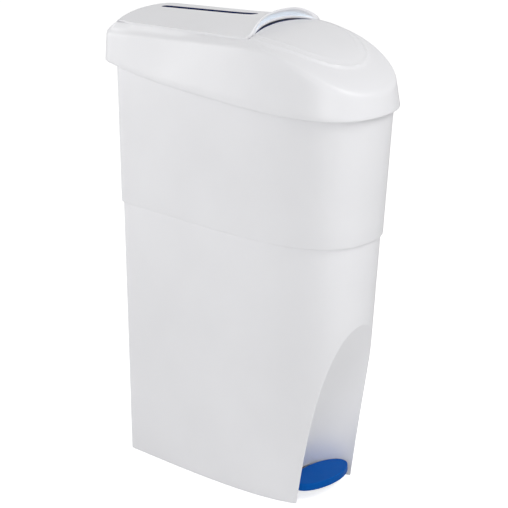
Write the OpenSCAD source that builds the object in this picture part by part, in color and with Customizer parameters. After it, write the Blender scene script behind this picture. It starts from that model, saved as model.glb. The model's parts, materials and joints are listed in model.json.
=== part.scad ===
// Pedal-operated washroom hygiene bin: two-part tapered body, lift-off lid,
// hinged flap opened by a foot pedal through a push rod.
// +Z is up, the front faces -Y, and the origin is the centre of the footprint on the floor.

/* [Body] */
// Depth of the body at the floor, back to front
body_depth = 297; // [270:1:330]
// Width of the flat back, over its rounded corners
back_w = 118; // [100:1:140]
// Radius of the two upright back corners
back_corner_r = 9; // [5:0.5:14]
// How far each side opens out from the back, in degrees
side_flare = 4; // [2:0.5:7]
// Reach of the long side curve from the back corner
side_reach = 186; // [165:1:205]
// Reach of the round front curve at the floor
front_reach = 71; // [55:1:85]
// Growth of the front curve for each mm of height
front_swell = 0.085; // [0.04:0.005:0.12]
// Lean of the back, outwards for each mm of height
back_lean = 0.016; // [0:0.002:0.03]
// Lean of the front, outwards for each mm of height
front_lean = 0.06; // [0.03:0.005:0.08]
// Height of the seam between lower body and upper sleeve
seam_z = 316; // [290:1:345]
// Height of the rim that the lid sits on
rim_z = 484; // [478:1:486]
// Wall of the mouldings
wall = 2.5; // [2:0.1:3.5]
// Height by which the sleeve laps over the lower body
lap_h = 18; // [10:1:30]

/* [Foot niche] */
// Width of the niche between its feet
niche_w = 102; // [96:1:110]
// Depth of the niche at the floor, from the front of the body
niche_depth = 76; // [66:1:84]
// Height of the top of the arch
niche_h = 217; // [170:1:240]
// Roundness of the niche wall in plan, at the floor
niche_round = 43; // [30:1:50]

/* [Pedal] */
// Width of the oval tread
tread_w = 88; // [70:1:92]
// Depth of the oval tread
tread_d = 43; // [35:1:48]
// Thickness of the tread
tread_t = 9; // [8:0.5:12]
// Height of the tread's top above the floor
tread_z = 22; // [18:0.5:24]
// Gap between the tread and the niche wall
tread_gap = 3; // [2:0.5:6]
// Distance of the pivot behind the niche wall
pivot_back = 9; // [8:0.5:14]
// Diameter of the pivot pin
pivot_d = 6; // [4:0.5:7]
// Width of the steel lever
lever_w = 20; // [14:1:24]
// Thickness of the steel lever
lever_t = 3; // [2:0.5:4]

/* [Linkage] */
// Diameter of the push rod
rod_d = 6; // [4:0.5:8]
// Length of the crank on the flap
crank_len = 24; // [20:0.5:28]
// Angle of the crank below level when the flap is shut
crank_drop = 30; // [25:1:35]
// Height of the lower rod guide
guide_low_z = 130; // [90:5:250]
// Height of the upper rod guide
guide_high_z = 425; // [370:5:450]

/* [Lid] */
// Height of the lid's lower edge at mid depth
lid_edge_z = 470; // [455:1:478]
// Slope of the lid's lower edge, falling to the front
lid_edge_slope = 0.044; // [0.02:0.002:0.06]
// Overhang of the lid beyond the sides and the front of the body
lid_over = 9; // [8:0.5:12]
// Overhang of the lid behind the body
lid_back = 19; // [17:0.5:22]
// Draft of the lid's skirt from edge to shoulder
lid_draft = 4; // [1:0.5:5]
// Height of the shoulder where the front begins to fall
shoulder_z = 534; // [524:1:540]
// Height of the shoulder at the tip of the front
nose_z = 481; // [474:1:490]
// Width of the flap at its front
flap_w = 128; // [116:1:132]
// Distance of the flap's front corners ahead of mid depth
flap_front = 47.5; // [34:0.5:58]
// Height of the flap's front corners
flap_z = 540; // [534:1:546]
// Height of the finger lip's crest
lip_z = 563; // [555:1:570]
// Length of the bag slot
slot_len = 145; // [100:1:150]
// Width of the bag slot
slot_w = 11; // [8:0.5:14]
// Diameter of the flap's hinge pin
hinge_d = 5; // [4:0.5:6]

/* [Inside] */
// Height of the false floor over the pedal linkage
deck_z = 48; // [45:1:60]
// Space between the liner bucket and the body
liner_gap = 4; // [3:0.5:8]
// Diameter of the case screws
screw_d = 3; // [2.5:0.5:4]

/* [Hidden] */
$fn = 48;

white = [0.90, 0.90, 0.92];
blue = [0.05, 0.25, 0.62];
steel = [0.70, 0.71, 0.73];
black = [0.12, 0.12, 0.13];

fit_gap = 0.3;       // between mouldings that slip together
run_gap = 0.05;      // radial, pin in bore
press_gap = 0.02;    // radial, piece pushed onto a rod or pin
lap_gap = 0.7;       // between the two parts of the body, in their lap
skirt_z = 8;         // locating skirt of the inner lid below the rim
plate_t = 3;         // flat moulded plates
flap_taper = 0.018;  // narrowing of the flap to the back, each side
flap_fall = 0.0325;  // fall of the flap's edge to the back

// Where the origin lies: half of the lid's depth behind its front edge.
lid_span = body_depth + (back_lean + front_lean) * lid_edge_z + lid_over + lid_back;
back_y0 = lid_span / 2 - lid_back - back_lean * lid_edge_z;
function back_y(z) = back_y0 + back_lean * z;
function front_y(z) = back_y0 - body_depth - front_lean * z;

// Plan outline of the body as stations from the middle of the back to the tip of the front.
back_steps = 2;
corner_steps = 4;
side_steps = 18;
half_steps = back_steps + corner_steps + side_steps;

function bezier(p, t) =
    pow(1 - t, 3) * p[0] + 3 * pow(1 - t, 2) * t * p[1] + 3 * (1 - t) * t * t * p[2] + t * t * t * p[3];
function bezier_dir(p, t) =
    pow(1 - t, 2) * (p[1] - p[0]) + 2 * (1 - t) * t * (p[2] - p[1]) + t * t * (p[3] - p[2]);
function unit(v) = v / norm(v);
function mix(a, b, s) = a + (b - a) * s;

// The four control points of one side, for a given back, front and front reach.
function side_points(yb, yf, reach, along = side_reach) =
    let (
        centre = [back_w / 2 - back_corner_r, yb - back_corner_r],
        start = centre + back_corner_r * [cos(side_flare), sin(side_flare)]
    )
    [start, start + along * [sin(side_flare), -cos(side_flare)], [reach, yf], [0, yf]];

// One station: [point, outward normal].
function side_station(t, p) = let (d = unit(bezier_dir(p, t))) [bezier(p, t), [-d.y, d.x]];
function station(k, yb, yf, reach, along = side_reach) =
    k <= back_steps
        ? [[(back_w / 2 - back_corner_r) * k / back_steps, yb], [0, 1]]
    : k <= back_steps + corner_steps
        ? let (
            turn = 90 - (90 - side_flare) * (k - back_steps) / corner_steps,
            dir = [cos(turn), sin(turn)]
        )
        [[back_w / 2 - back_corner_r, yb - back_corner_r] + back_corner_r * dir, dir]
    : side_station((k - back_steps - corner_steps) / side_steps, side_points(yb, yf, reach, along));

function half_outline(yb, yf, reach, off) =
    [for (k = [0 : half_steps]) let (s = station(k, yb, yf, reach)) s[0] + off * s[1]];
// The whole outline, clockwise from above; the other half is its mirror image.
function mirrored(p) = [for (i = [0 : len(p) - 1]) i == 0 ? -p[0] : p[i]];
function whole(half) = concat(half, [for (k = [len(half) - 2 : -1 : 1]) mirrored(half[k])]);
function outline(z, off = 0) =
    whole(half_outline(back_y(z), front_y(z), front_reach + front_swell * z, off));
function lift(outline_2d, z) = [for (p = outline_2d) [p.x, p.y, z]];
function ring(z, off = 0) = lift(outline(z, off), z);

function flat(lists) = [for (l = lists) for (v = l) v];
function reversed(v) = [for (i = [len(v) - 1 : -1 : 0]) v[i]];

// Two triangles for each cell of a grid of points whose rows follow each other in one list.
function cells(rows, cols, wraps, first, flip) = flat([
    for (r = [0 : rows - 2]) for (i = [0 : cols - (wraps ? 1 : 2)])
        let (
            j = (i + 1) % cols,
            a = first + r * cols + i,
            b = first + r * cols + j,
            c = first + (r + 1) * cols + j,
            d = first + (r + 1) * cols + i
        )
        flip ? [[a, c, b], [a, d, c]] : [[a, b, c], [a, c, d]]
]);

// Solid through a stack of outlines, the lowest first; its end faces start at the front,
// away from the straight back.
module loft(rings) {
    n = len(rings[0]);
    top = (len(rings) - 1) * n;
    from_front = [for (i = [0 : n - 1]) (i + floor(n / 2)) % n];
    polyhedron(
        points = flat(rings),
        faces = concat(
            [[for (i = [n : -1 : 1]) from_front[i % n]]],
            cells(len(rings), n, true, 0, false),
            [[for (i = from_front) top + i]]
        )
    );
}

// Outward normals of a grid of points, from its neighbours.
function grid_normal(g, r, i, wraps) =
    let (
        rows = len(g),
        cols = len(g[0]),
        next = wraps ? (i + 1) % cols : min(i + 1, cols - 1),
        last = wraps ? (i + cols - 1) % cols : max(i - 1, 0),
        along = g[r][next] - g[r][last],
        up = g[min(r + 1, rows - 1)][i] - g[max(r - 1, 0)][i]
    )
    unit(cross(up, along));

// Sheet of even thickness behind a grid of outer points; it closes on itself where it wraps.
module sheet(g, thick, wraps) {
    rows = len(g);
    cols = len(g[0]);
    inner = [
        for (r = [0 : rows - 1])
            [for (i = [0 : cols - 1]) g[r][i] - thick * grid_normal(g, r, i, wraps)]
    ];
    n = rows * cols;
    low = [for (i = [0 : cols - 1]) i];
    high = [for (i = [0 : cols - 1]) (rows - 1) * cols + i];
    left = [for (r = [rows - 1 : -1 : 0]) r * cols];
    right = [for (r = [0 : rows - 1]) r * cols + cols - 1];
    loop = concat(
        low,
        [for (k = [1 : rows - 1]) right[k]],
        [for (k = [1 : cols - 1]) reversed(high)[k]],
        [for (k = [1 : rows - 2]) left[k]]
    );
    rims = wraps
        ? [concat(low, [0]), concat(reversed(high), [high[cols - 1]])]
        : [concat(loop, [0])];
    polyhedron(
        points = concat(flat(g), flat(inner)),
        faces = concat(
            cells(rows, cols, wraps, 0, false),
            cells(rows, cols, wraps, n, true),
            flat([for (rim = rims) for (k = [0 : len(rim) - 2])
                [[rim[k], rim[k] + n, rim[k + 1] + n], [rim[k], rim[k + 1] + n, rim[k + 1]]]])
        )
    );
}

// Foot niche: a scoop whose back wall leans forward until it leaves the front of the body.
niche_y0 = front_y(0) + niche_depth;
niche_slope = (front_y(niche_h) - niche_y0) / niche_h;
niche_end_z = niche_h + 15;
tread_side = 7;                   // room for a shoe beside the tread, each side
niche_half = max(niche_w, tread_w + 2 * tread_side) / 2;
niche_steps = 24;
function niche_y(z) = niche_y0 + niche_slope * z;
function niche_bend(z) = niche_round * (1 - z / niche_end_z);
function niche_ring(z, off) =
    let (half_w = niche_half + off, reach = -2 * lid_span)
    concat(
        [for (k = [0 : niche_steps]) let (a = 180 - 180 * k / niche_steps)
            [half_w * cos(a), niche_y(z) + off - (niche_bend(z) + off) * (1 - sin(a)), z]],
        [[half_w, reach, z], [-half_w, reach, z]]
    );
module niche(off) {
    loft([niche_ring(-20, off), niche_ring(niche_end_z, off)]);
}

screw_clear = 0.4;                // on the diameter, where a screw passes through
screw_grip = 9;                   // length of thread in the piece that it holds

// Screw columns inside the lower body, by the stations that they stand at.
column_r = screw_d / 2 + 3.5;
column_sink = 1.5;                // of a column in the body's wall
column_stations = [back_steps + corner_steps + 2, back_steps + corner_steps + 10];
function column_at(k) =
    let (s = station(k, back_y(0), front_y(0), front_reach))
    s[0] - (wall + column_r - column_sink) * s[1];
columns = [for (k = column_stations) for (side = [-1, 1]) [side * column_at(k).x, column_at(k).y]];
base_z = 2;                       // underside of the base plate
base_top = base_z + plate_t;

// Pedal linkage places.
tread_y = niche_y(tread_z) - tread_gap - tread_d / 2;
pivot_y = niche_y0 + wall + pivot_back;
lever_top = tread_z - wall;
eye_wall = 2.5;                   // round the pivot and the hinge pin
pivot_r = pivot_d / 2 + eye_wall;
pivot_z = lever_top - pivot_r;
hinge_inset = 6.5;                // hinge axis in from the back of the body
hinge_drop = 5.8;                 // hinge axis below the flap's edge
hinge_y = back_y(lid_edge_z) - hinge_inset;
hinge_z = flap_edge_z(hinge_y) - hinge_drop;
crank_tip_r = 4;
crank_reach = crank_len * (1 + cos(crank_drop)) / 2;
rod_y = hinge_y - crank_reach;
lever_tip_r = 4;
lever_slack = 0.35;               // lever below the rod's foot, at rest
crank_slack = 0.5;                // crank above the rod's cap, at rest
rod_low_z = lever_top + lever_slack;
rod_top_z = hinge_z - crank_len * sin(crank_drop) - crank_tip_r - crank_slack;

// Outline of the lower body: along the side to the edge of the niche, then along the niche wall.
side_cols = 14;
niche_cols = 10;
niche_turns = [0 : 12 : 84];      // rows up the arch, closer together to its top
function wall_y(x, z) =
    let (share = min(abs(x) / niche_half, 1))
    niche_y(z) - niche_bend(z) * (1 - sqrt(1 - share * share));
function niche_edge(p, z, low = 0, high = 1, tries = 24) =
    let (mid = (low + high) / 2, q = bezier(p, mid))
    tries == 0 ? mid
    : q.x < niche_half && q.y < wall_y(q.x, z) ? niche_edge(p, z, low, mid, tries - 1)
    : niche_edge(p, z, mid, high, tries - 1);
function niche_outline(z, off) =
    let (
        yb = back_y(z),
        yf = front_y(z),
        reach = front_reach + front_swell * z,
        p = side_points(yb, yf, reach),
        below = z < niche_h,
        edge = niche_edge(p, min(z, niche_h * sin(84))),
        edge_x = bezier(p, edge).x,
        stations = concat(
            [for (k = [0 : back_steps + corner_steps - 1]) station(k, yb, yf, reach)],
            [for (k = [0 : side_cols]) side_station(edge * k / side_cols, p)]
        )
    )
    whole(concat(
        [for (s = stations) s[0] + off * s[1]],
        [for (k = [1 : niche_cols])
            let (x = edge_x * cos(90 * k / niche_cols), s = side_station(mix(edge, 1, k / niche_cols), p))
            below ? [x, wall_y(x, z)] : s[0] + off * s[1]]
    ));
body_rows = concat(
    [for (a = niche_turns) [niche_h * sin(a), 0]],
    [[niche_h * 1.03, 0], [seam_z, 0], [seam_z, -lap_gap], [seam_z + lap_h, -lap_gap]]
);
body_grid = [for (row = body_rows) lift(niche_outline(row[0], row[1]), row[0])];

module lower_body() {
    color(white)
        difference() {
            union() {
                sheet(body_grid, wall, true);
                for (c = columns)
                    translate([c.x, c.y, base_top])
                        cylinder(r = column_r, h = deck_z - base_top);
            }
            for (c = columns)
                translate([c.x, c.y, 0])
                    cylinder(d = screw_d + 2 * run_gap, h = deck_z + 1);
            lever_slot();
        }
}

// Slot in the niche wall for the lever, with room for its swing.
module lever_slot() {
    slot_h = lever_t + 10;
    translate([-lever_w / 2 - 2, niche_y(tread_z) - 10, lever_top - lever_t / 2 - slot_h / 2])
        cube([lever_w + 4, pivot_back + 16, slot_h]);
}

ledge_h = 3;
module upper_sleeve() {
    top_of_lap = seam_z + lap_h + fit_gap;
    color(white)
        difference() {
            loft([ring(seam_z, wall), ring(rim_z, wall)]);
            loft([
                ring(seam_z - 1), ring(top_of_lap), ring(top_of_lap, fit_gap - wall),
                ring(top_of_lap + ledge_h, fit_gap - wall), ring(top_of_lap + ledge_h), ring(rim_z + 1)
            ]);
        }
}

// Flat plate that fills the body at one height, clear of the niche.
module body_plate(z, gap) {
    difference() {
        translate([0, 0, z])
            linear_extrude(plate_t)
                polygon(outline(z, -wall - gap));
        niche(wall + gap);
    }
}

ear_t = 5;
ear_x = lever_w / 2 + 0.5;
module base_plate() {
    color(black)
        difference() {
            union() {
                body_plate(base_z, 2 * fit_gap);
                for (side = [0, 1])
                    mirror([side, 0, 0])
                        translate([ear_x, pivot_y, 0]) {
                            translate([0, -pivot_r, base_z])
                                cube([ear_t, 2 * pivot_r, pivot_z - base_z]);
                            translate([0, 0, pivot_z])
                                rotate([0, 90, 0])
                                    cylinder(r = pivot_r, h = ear_t);
                        }
            }
            translate([0, pivot_y, pivot_z])
                rotate([0, 90, 0])
                    cylinder(d = pivot_d + 2 * run_gap, h = 2 * lever_w + 4 * ear_t, center = true);
            for (c = columns)
                translate([c.x, c.y, 0])
                    cylinder(d = screw_d + screw_clear, h = base_top + 1);
        }
}

foot_r = 8;
foot_inset = 24;
module rubber_feet() {
    color(black)
        for (side = [-1, 1], y = [back_y0 - foot_inset, pivot_y + foot_inset])
            translate([side * (back_w / 2 - foot_inset), y, 0])
                rotate_extrude()
                    polygon([[0, 0], [foot_r - 1, 0], [foot_r, base_z], [0, base_z]]);
}

// Pan-head screw standing on its head, threaded part up.
head_r = screw_d / 2 + 1.3;
head_h = 1.5;
module screw(shank) {
    rotate_extrude()
        polygon([[0, 0], [head_r - 0.6, 0], [head_r, 0.6], [head_r, head_h], [screw_d / 2, head_h],
            [screw_d / 2, head_h + shank], [0, head_h + shank]]);
}

module case_screws() {
    color(steel)
        for (c = columns) {
            translate([c.x, c.y, base_z - head_h])
                screw(plate_t + screw_grip);
            translate([c.x, c.y, deck_z + plate_t])
                rotate([180, 0, 0])
                    screw(plate_t - head_h + screw_grip);
        }
}

module false_floor() {
    color(black)
        difference() {
            body_plate(deck_z, 1);
            translate([0, rod_y, deck_z - 1])
                cylinder(d = rod_end_d + 2, h = plate_t + 2);
            for (c = columns)
                translate([c.x, c.y, deck_z]) {
                    translate([0, 0, -1])
                        cylinder(d = screw_d + screw_clear, h = plate_t + 2);
                    translate([0, 0, plate_t - head_h])
                        cylinder(r = head_r + screw_clear, h = head_h + 1);
                }
        }
}

tread_steps = 40;
function oval(inset, z) = [for (k = [0 : tread_steps - 1]) let (a = -360 * k / tread_steps)
    [(tread_w / 2 - inset) * cos(a), tread_y + (tread_d / 2 - inset) * sin(a), z]];
tread_screw_x = lever_w / 2 - 4;
module pedal_tread() {
    low = tread_z - tread_t;
    color(blue)
        difference() {
            loft([
                oval(1, low), oval(0, low + 1.5), oval(0, tread_z - 2),
                oval(0.7, tread_z - 0.6), oval(2.2, tread_z)
            ]);
            loft([oval(wall + 1, low - 1), oval(wall, lever_top)]);
            translate([-lever_w / 2 - 1, tread_y, low - 1])
                cube([lever_w + 2, tread_d, lever_top - low + 1]);
            for (side = [-1, 1])
                translate([side * tread_screw_x, tread_y, lever_top - 1])
                    cylinder(d = screw_d, h = 2);
        }
}

module tread_screws() {
    color(steel)
        for (side = [-1, 1])
            translate([side * tread_screw_x, tread_y, lever_top - lever_t - head_h])
                screw(lever_t + 0.9);
}

module pedal_lever() {
    front = tread_y - tread_d / 2 + wall + 5;
    color(steel)
        difference() {
            union() {
                translate([-lever_w / 2, front, lever_top - lever_t])
                    cube([lever_w, rod_y - front, lever_t]);
                translate([-lever_w / 2, pivot_y, pivot_z])
                    rotate([0, 90, 0])
                        cylinder(r = pivot_r, h = lever_w);
                translate([-lever_w / 2, rod_y, lever_top - lever_tip_r])
                    rotate([0, 90, 0])
                        cylinder(r = lever_tip_r, h = lever_w);
            }
            translate([0, pivot_y, pivot_z])
                rotate([0, 90, 0])
                    cylinder(d = pivot_d + 2 * run_gap, h = lever_w + 2, center = true);
            for (side = [-1, 1])
                translate([side * tread_screw_x, tread_y, lever_top - lever_t - 1])
                    cylinder(d = screw_d + 0.2, h = lever_t + 2);
        }
}

cap_t = 2;
pin_half = ear_x + ear_t + cap_t;
module pivot_pin() {
    color(steel)
        translate([0, pivot_y, pivot_z])
            rotate([0, 90, 0])
                cylinder(d = pivot_d, h = 2 * pin_half, center = true);
}

module pivot_caps() {
    color(steel)
        for (side = [0, 1])
            mirror([side, 0, 0])
                translate([ear_x + ear_t + 0.1, pivot_y, pivot_z])
                    rotate([0, 90, 0])
                        difference() {
                            cylinder(r = pivot_r, h = cap_t - 0.1);
                            translate([0, 0, -1])
                                cylinder(r = pivot_d / 2 + press_gap, h = cap_t + 2);
                        }
}

rod_seat = 6;                     // depth of the rod in its end pieces
rod_end_d = rod_d + 6;
cap_bevel = 2;
module push_rod() {
    color(steel)
        translate([0, rod_y, rod_low_z + wall])
            cylinder(d = rod_d, h = rod_top_z - rod_low_z - 2 * wall);
}

module rod_foot() {
    color(black)
        translate([0, rod_y, rod_low_z])
            difference() {
                cylinder(d = rod_end_d, h = wall + rod_seat);
                translate([0, 0, wall])
                    cylinder(r = rod_d / 2 + press_gap, h = rod_seat + 1);
            }
}

module rod_cap() {
    high = wall + rod_seat;
    bore_r = rod_d / 2 + press_gap;
    color(black)
        translate([0, rod_y, rod_top_z - high])
            rotate_extrude()
                polygon([
                    [bore_r, 0], [rod_end_d / 2, 0], [rod_end_d / 2, high - cap_bevel],
                    [rod_end_d / 2 - cap_bevel, high], [0, high], [0, rod_seat], [bore_r, rod_seat]
                ]);
}

guide_w = 22;
guide_h = 14;
module rod_guide(z, wall_y) {
    eye_r = rod_d / 2 + 3.5;
    foot_t = 3;
    color(black)
        translate([0, 0, z])
            difference() {
                union() {
                    translate([0, rod_y, 0])
                        cylinder(r = eye_r, h = guide_h);
                    translate([-2, rod_y, 0])
                        cube([4, wall_y - rod_y - foot_t / 2, guide_h]);
                    translate([-guide_w / 2, wall_y - foot_t, 0])
                        cube([guide_w, foot_t, guide_h]);
                }
                translate([0, rod_y, -1])
                    cylinder(d = rod_d + 0.2, h = guide_h + 2);
            }
}
module rod_guide_lower() {
    rod_guide(guide_low_z, back_y(guide_low_z) - wall);
}
module rod_guide_upper() {
    rod_guide(guide_high_z, back_y(guide_high_z));
}

// Liner bucket: stands on the false floor, clear of the rod behind it and of the niche wall in front.
liner_t = 2;
liner_top = rim_z - skirt_z - 6;
liner_back = rod_y - rod_end_d / 2 - 5;
function liner_ring(z, inset) =
    let (
        gap = wall + liner_gap + inset,
        front = max(niche_y(z), front_y(z)),
        reach = front_reach + front_swell * z,
        narrow = 1 - gap / (back_w / 2)
    )
    lift(whole([
        for (p = half_outline(liner_back - inset, front + gap, reach, 0)) [p.x * narrow, p.y]
    ]), z);
module liner_bucket() {
    low = deck_z + plate_t;
    color(blue)
        difference() {
            loft([liner_ring(low, 0), liner_ring(niche_h, 0), liner_ring(liner_top, 0)]);
            loft([
                liner_ring(low + liner_t, liner_t), liner_ring(niche_h, liner_t),
                liner_ring(liner_top + 1, liner_t)
            ]);
        }
}

// Lid surfaces
lid_reach = front_reach + front_swell * lid_edge_z;
lid_longer = lid_back - lid_over;  // outline of the lid behind that of the body
lid_yb = back_y(lid_edge_z) + lid_longer;
lid_yf = front_y(lid_edge_z);
function lid_station(k) = station(k, lid_yb, lid_yf, lid_reach, side_reach + lid_longer);
lid_y_min = lid_yf - lid_over;

// Lower edge of the lid: it falls to the front, and sweeps up at the back.
edge_lift = 8;
edge_lift_from = 55;
function edge_z(y) =
    lid_edge_z + lid_edge_slope * y
    + edge_lift * pow(max(y - edge_lift_from, 0) / (lid_span / 2 - edge_lift_from), 2.2);

// The shoulder climbs gently from the back, then falls round the nose.
shoulder_slope = 0.06;
shoulder_bend = -74.7;
shoulder_ease = 24;               // length of the level part behind the bend
function shoulder(y) =
    y > shoulder_bend
        ? shoulder_z - shoulder_slope * max(y - shoulder_bend - shoulder_ease, 0)
        : shoulder_z - (shoulder_z - nose_z) * pow((shoulder_bend - y) / (shoulder_bend - lid_y_min), 1.65);

flap_gap = 0.8;                   // between flap and lid
flap_proud = 1.5;                 // edge of the flap above the lid beside it
rear_bow = 10;                    // bow of the bonnet's rear edge in plan
bonnet_rise = 5.5;                // crown of the bonnet's rear edge
function flap_half(y) = flap_w / 2 - flap_taper * (y + flap_front);
function flap_edge_z(y) = flap_z - flap_fall * (y + flap_front);
function crown(u) = 1 - pow(abs(u), 2.3);

// The flap's deck: crowned across, sweeping up to the finger lip.
crown_back = 9;
crown_front = lip_z - flap_z;
lip_bow = 6;                      // bow of the lip's rim in plan
sweep_from = 60.3;
function crown_h(y) =
    crown_back + (crown_front - crown_back) * (
        0.25 * (hinge_y - y) / (hinge_y + flap_front - lip_bow)
        + 0.75 * pow(max(sweep_from - y, 0) / (sweep_from + flap_front - lip_bow), 2.6)
    );
function deck_top(x, y) = flap_edge_z(y) + crown_h(y) * crown(x / flap_half(y));

// Where the sides of the opening end and the bonnet begins, as a share of the side curve.
function side_share(y, low = 0, high = 1, tries = 24) =
    let (mid = (low + high) / 2, p = side_points(lid_yb, lid_yf, lid_reach, side_reach + lid_longer))
    tries == 0 ? mid
    : bezier(p, mid).y > y ? side_share(y, mid, high, tries - 1) : side_share(y, low, mid, tries - 1);
bonnet_share = side_share(-flap_front);
// 0 along the sides, 90 at the tip of the nose.
function bonnet_turn(k) =
    90 * max(0, ((k - back_steps - corner_steps) / side_steps - bonnet_share) / (1 - bonnet_share));

// Edge of the opening that the flap lies in. At the back it follows the flap's barrel-shaped end,
// whose radius at each place is the height of the deck above the hinge.
barrel_gap = 2.8;                 // from the barrel to the edge behind it
barrel_ease = 20;                 // length of the side ahead of the hinge where that gap closes up
barrel_turn = 86;                 // place of that edge round the hinge, from straight up
back_rise = 5;                    // shoulder at the middle of the back above its line
function back_share(k) =
    k > back_steps + corner_steps ? 1 : lid_station(k)[0].x / lid_station(back_steps + corner_steps)[0].x;
function barrel_r(u) = deck_top(u * flap_half(hinge_y), hinge_y) - hinge_z;
function opening(k) =
    let (
        y = min(lid_station(k)[0].y, hinge_y),
        turn = bonnet_turn(k),
        u = back_share(k),
        r = barrel_r(u) + barrel_gap,
        gap = mix(barrel_gap, flap_gap, min((hinge_y - y) / barrel_ease, 1))
    )
    k < back_steps + corner_steps
        ? [u * (flap_half(hinge_y) + gap), hinge_y + r * sin(barrel_turn), hinge_z + r * cos(barrel_turn)]
    : turn == 0
        ? [flap_half(y) + gap, y, flap_edge_z(y) - flap_proud]
    : [(flap_w / 2 + flap_gap) * cos(turn), -flap_front + rear_bow * pow(sin(turn), 2),
        flap_z - flap_proud + (bonnet_rise + flap_proud) * pow(sin(turn), 2)];

// Embossed tongue on the bonnet: its edge, as a share of the way from opening to shoulder.
tongue_rise = 1.6;
function tongue_share(turn) = 0.14 + 0.6 * pow(sin(turn), 1.2);
top_rows = [0.985, 0.94, 0.85, 0.68, 0.45, 0.2, 0.05, -0.05, -0.4, -0.75, -1];
// Rows above 0 run from shoulder to tongue, rows below 0 from the tongue's edge to the opening.
function top_share(row, turn) =
    let (t = tongue_share(turn)) row > 0 ? t + (1 - t) * row : t * (1 + row);
// Rows up the skirt and round the shoulder: the draft follows the height above the edge.
skirt_rows = [0, 1, 2, 3, 4];
shoulder_in = [0, 0, 0, 0.6, 2.8];
shoulder_up = [0, 0, -5, -1.5, 0.6];
function lid_side(k, row) =
    let (
        s = lid_station(k),
        top = shoulder(s[0].y) + back_rise * (1 - pow(back_share(k), 4)),
        low = edge_z(s[0].y + lid_over * s[1].y),
        z = row == 0 ? low : row == 1 ? (low + top) / 2 : top + shoulder_up[row],
        off = lid_over - lid_draft * (z - low) / (shoulder_z - lid_edge_z) - shoulder_in[row]
    )
    [s[0].x + off * s[1].x, s[0].y + off * s[1].y, z];
// Point where the lid's top starts, just inside the shoulder.
function shoulder_point(k) = lid_side(k, 4);
// Point of the top, at a share of the way from opening to shoulder.
function lid_at(k, share) =
    let (
        front = min(bonnet_turn(k) / 45, 1),
        c = shoulder_point(k),
        e = opening(k),
        rise = pow(1 - pow(share, mix(1.6, 3.2, front)), mix(1, 0.6, front))
    )
    [mix(e.x, c.x, share), mix(e.y, c.y, share), mix(c.z, e.z, rise)];
function lid_top(k, row) =
    let (turn = bonnet_turn(k), raised = row < 0 ? tongue_rise * min(turn / 12, 1) : 0)
    lid_at(k, top_share(row, turn)) + [0, 0, raised];
lid_grid = concat(
    [for (row = skirt_rows) whole([for (k = [0 : half_steps]) lid_side(k, row)])],
    [for (row = top_rows) whole([for (k = [0 : half_steps]) lid_top(k, row)])]
);

// Screw bosses under the lid stand on the inner lid: by station and distance in from the shoulder.
// Each ends inside the thickness of the sloping top.
boss_r = screw_d / 2 + 2;
boss_seats = [[back_steps + corner_steps + 6, 9], [back_steps + corner_steps + 13, 32]];
function boss_point(k, inset) =
    let (
        c = shoulder_point(k),
        e = opening(k),
        share = 1 - inset / norm([c.x - e.x, c.y - e.y]),
        p = lid_at(k, share),
        lower = lid_at(k, share + 0.1),
        fall = (p.z - lower.z) / norm([p.x - lower.x, p.y - lower.y])
    )
    p - [0, 0, boss_r * fall + 0.6];
boss_points = [
    for (seat = boss_seats) for (side = [-1, 1])
        let (p = boss_point(seat[0], seat[1])) [side * p.x, p.y, p.z]
];

module lid() {
    plate_top = rim_z + plate_t;
    color(white)
        difference() {
            union() {
                sheet(lid_grid, wall, true);
                for (p = boss_points)
                    translate([p.x, p.y, plate_top])
                        cylinder(r = boss_r, h = p.z - plate_top);
            }
            for (p = boss_points)
                translate([p.x, p.y, plate_top - 1])
                    cylinder(d = screw_d + 2 * run_gap, h = screw_grip + 4);
        }
}

module lid_screws() {
    color(steel)
        for (p = boss_points)
            translate([p.x, p.y, rim_z - head_h])
                screw(plate_t + screw_grip);
}

// Flap: crowned deck that sweeps up to a finger lip.
flap_t = 2.5;
rim_back = 1.6;                   // lip's rim behind the bonnet's edge
lip_clear = 3;                    // lip's foot above the bonnet, at the middle
foot_taper = 0.02;                // narrowing of the lip to its foot, as a share of its width
foot_drop = 3;                    // lip's foot below the flap's corners, at the ends
end_taper = 0.06;                 // narrowing of the back end, as a share of its width
flap_cols = [-1, -0.97, -0.9, -0.78, -0.62, -0.42, -0.2, 0, 0.2, 0.42, 0.62, 0.78, 0.9, 0.97, 1];
end_rows = [100, 75, 50, 25];       // round the hinge, from straight up
deck_rows = [0, 0.16, 0.32, 0.48, 0.62, 0.74, 0.84, 0.92, 0.97, 1];
function flap_rim_y(u) = -flap_front + rim_back + lip_bow * (1 - u * u);
function flap_point(u, y) = [u * (flap_half(y) - 0.1), y, deck_top(u * flap_half(y), y)];
function flap_end(u, angle) =
    let (p = flap_point(u, hinge_y), r = barrel_r(u))
    [p.x * (1 - end_taper * (1 - cos(angle))), hinge_y + r * sin(angle), hinge_z + r * cos(angle)];
function flap_lip(u, share) =
    let (
        rim = flap_point(u, flap_rim_y(u)),
        foot = [
            rim.x * (1 - foot_taper),
            -flap_front + rim_back + 1 + rear_bow * (1 - u * u),
            flap_z - foot_drop + (bonnet_rise + lip_clear + foot_drop) * crown(u)
        ]
    )
    mix(rim, foot, share);
flap_grid = concat(
    [for (a = end_rows) [for (u = flap_cols) flap_end(u, a)]],
    [for (q = deck_rows) [for (u = flap_cols) flap_point(u, mix(hinge_y, flap_rim_y(u), q))]],
    [for (q = [0.5, 1]) [for (u = flap_cols) flap_lip(u, q)]]
);

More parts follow.
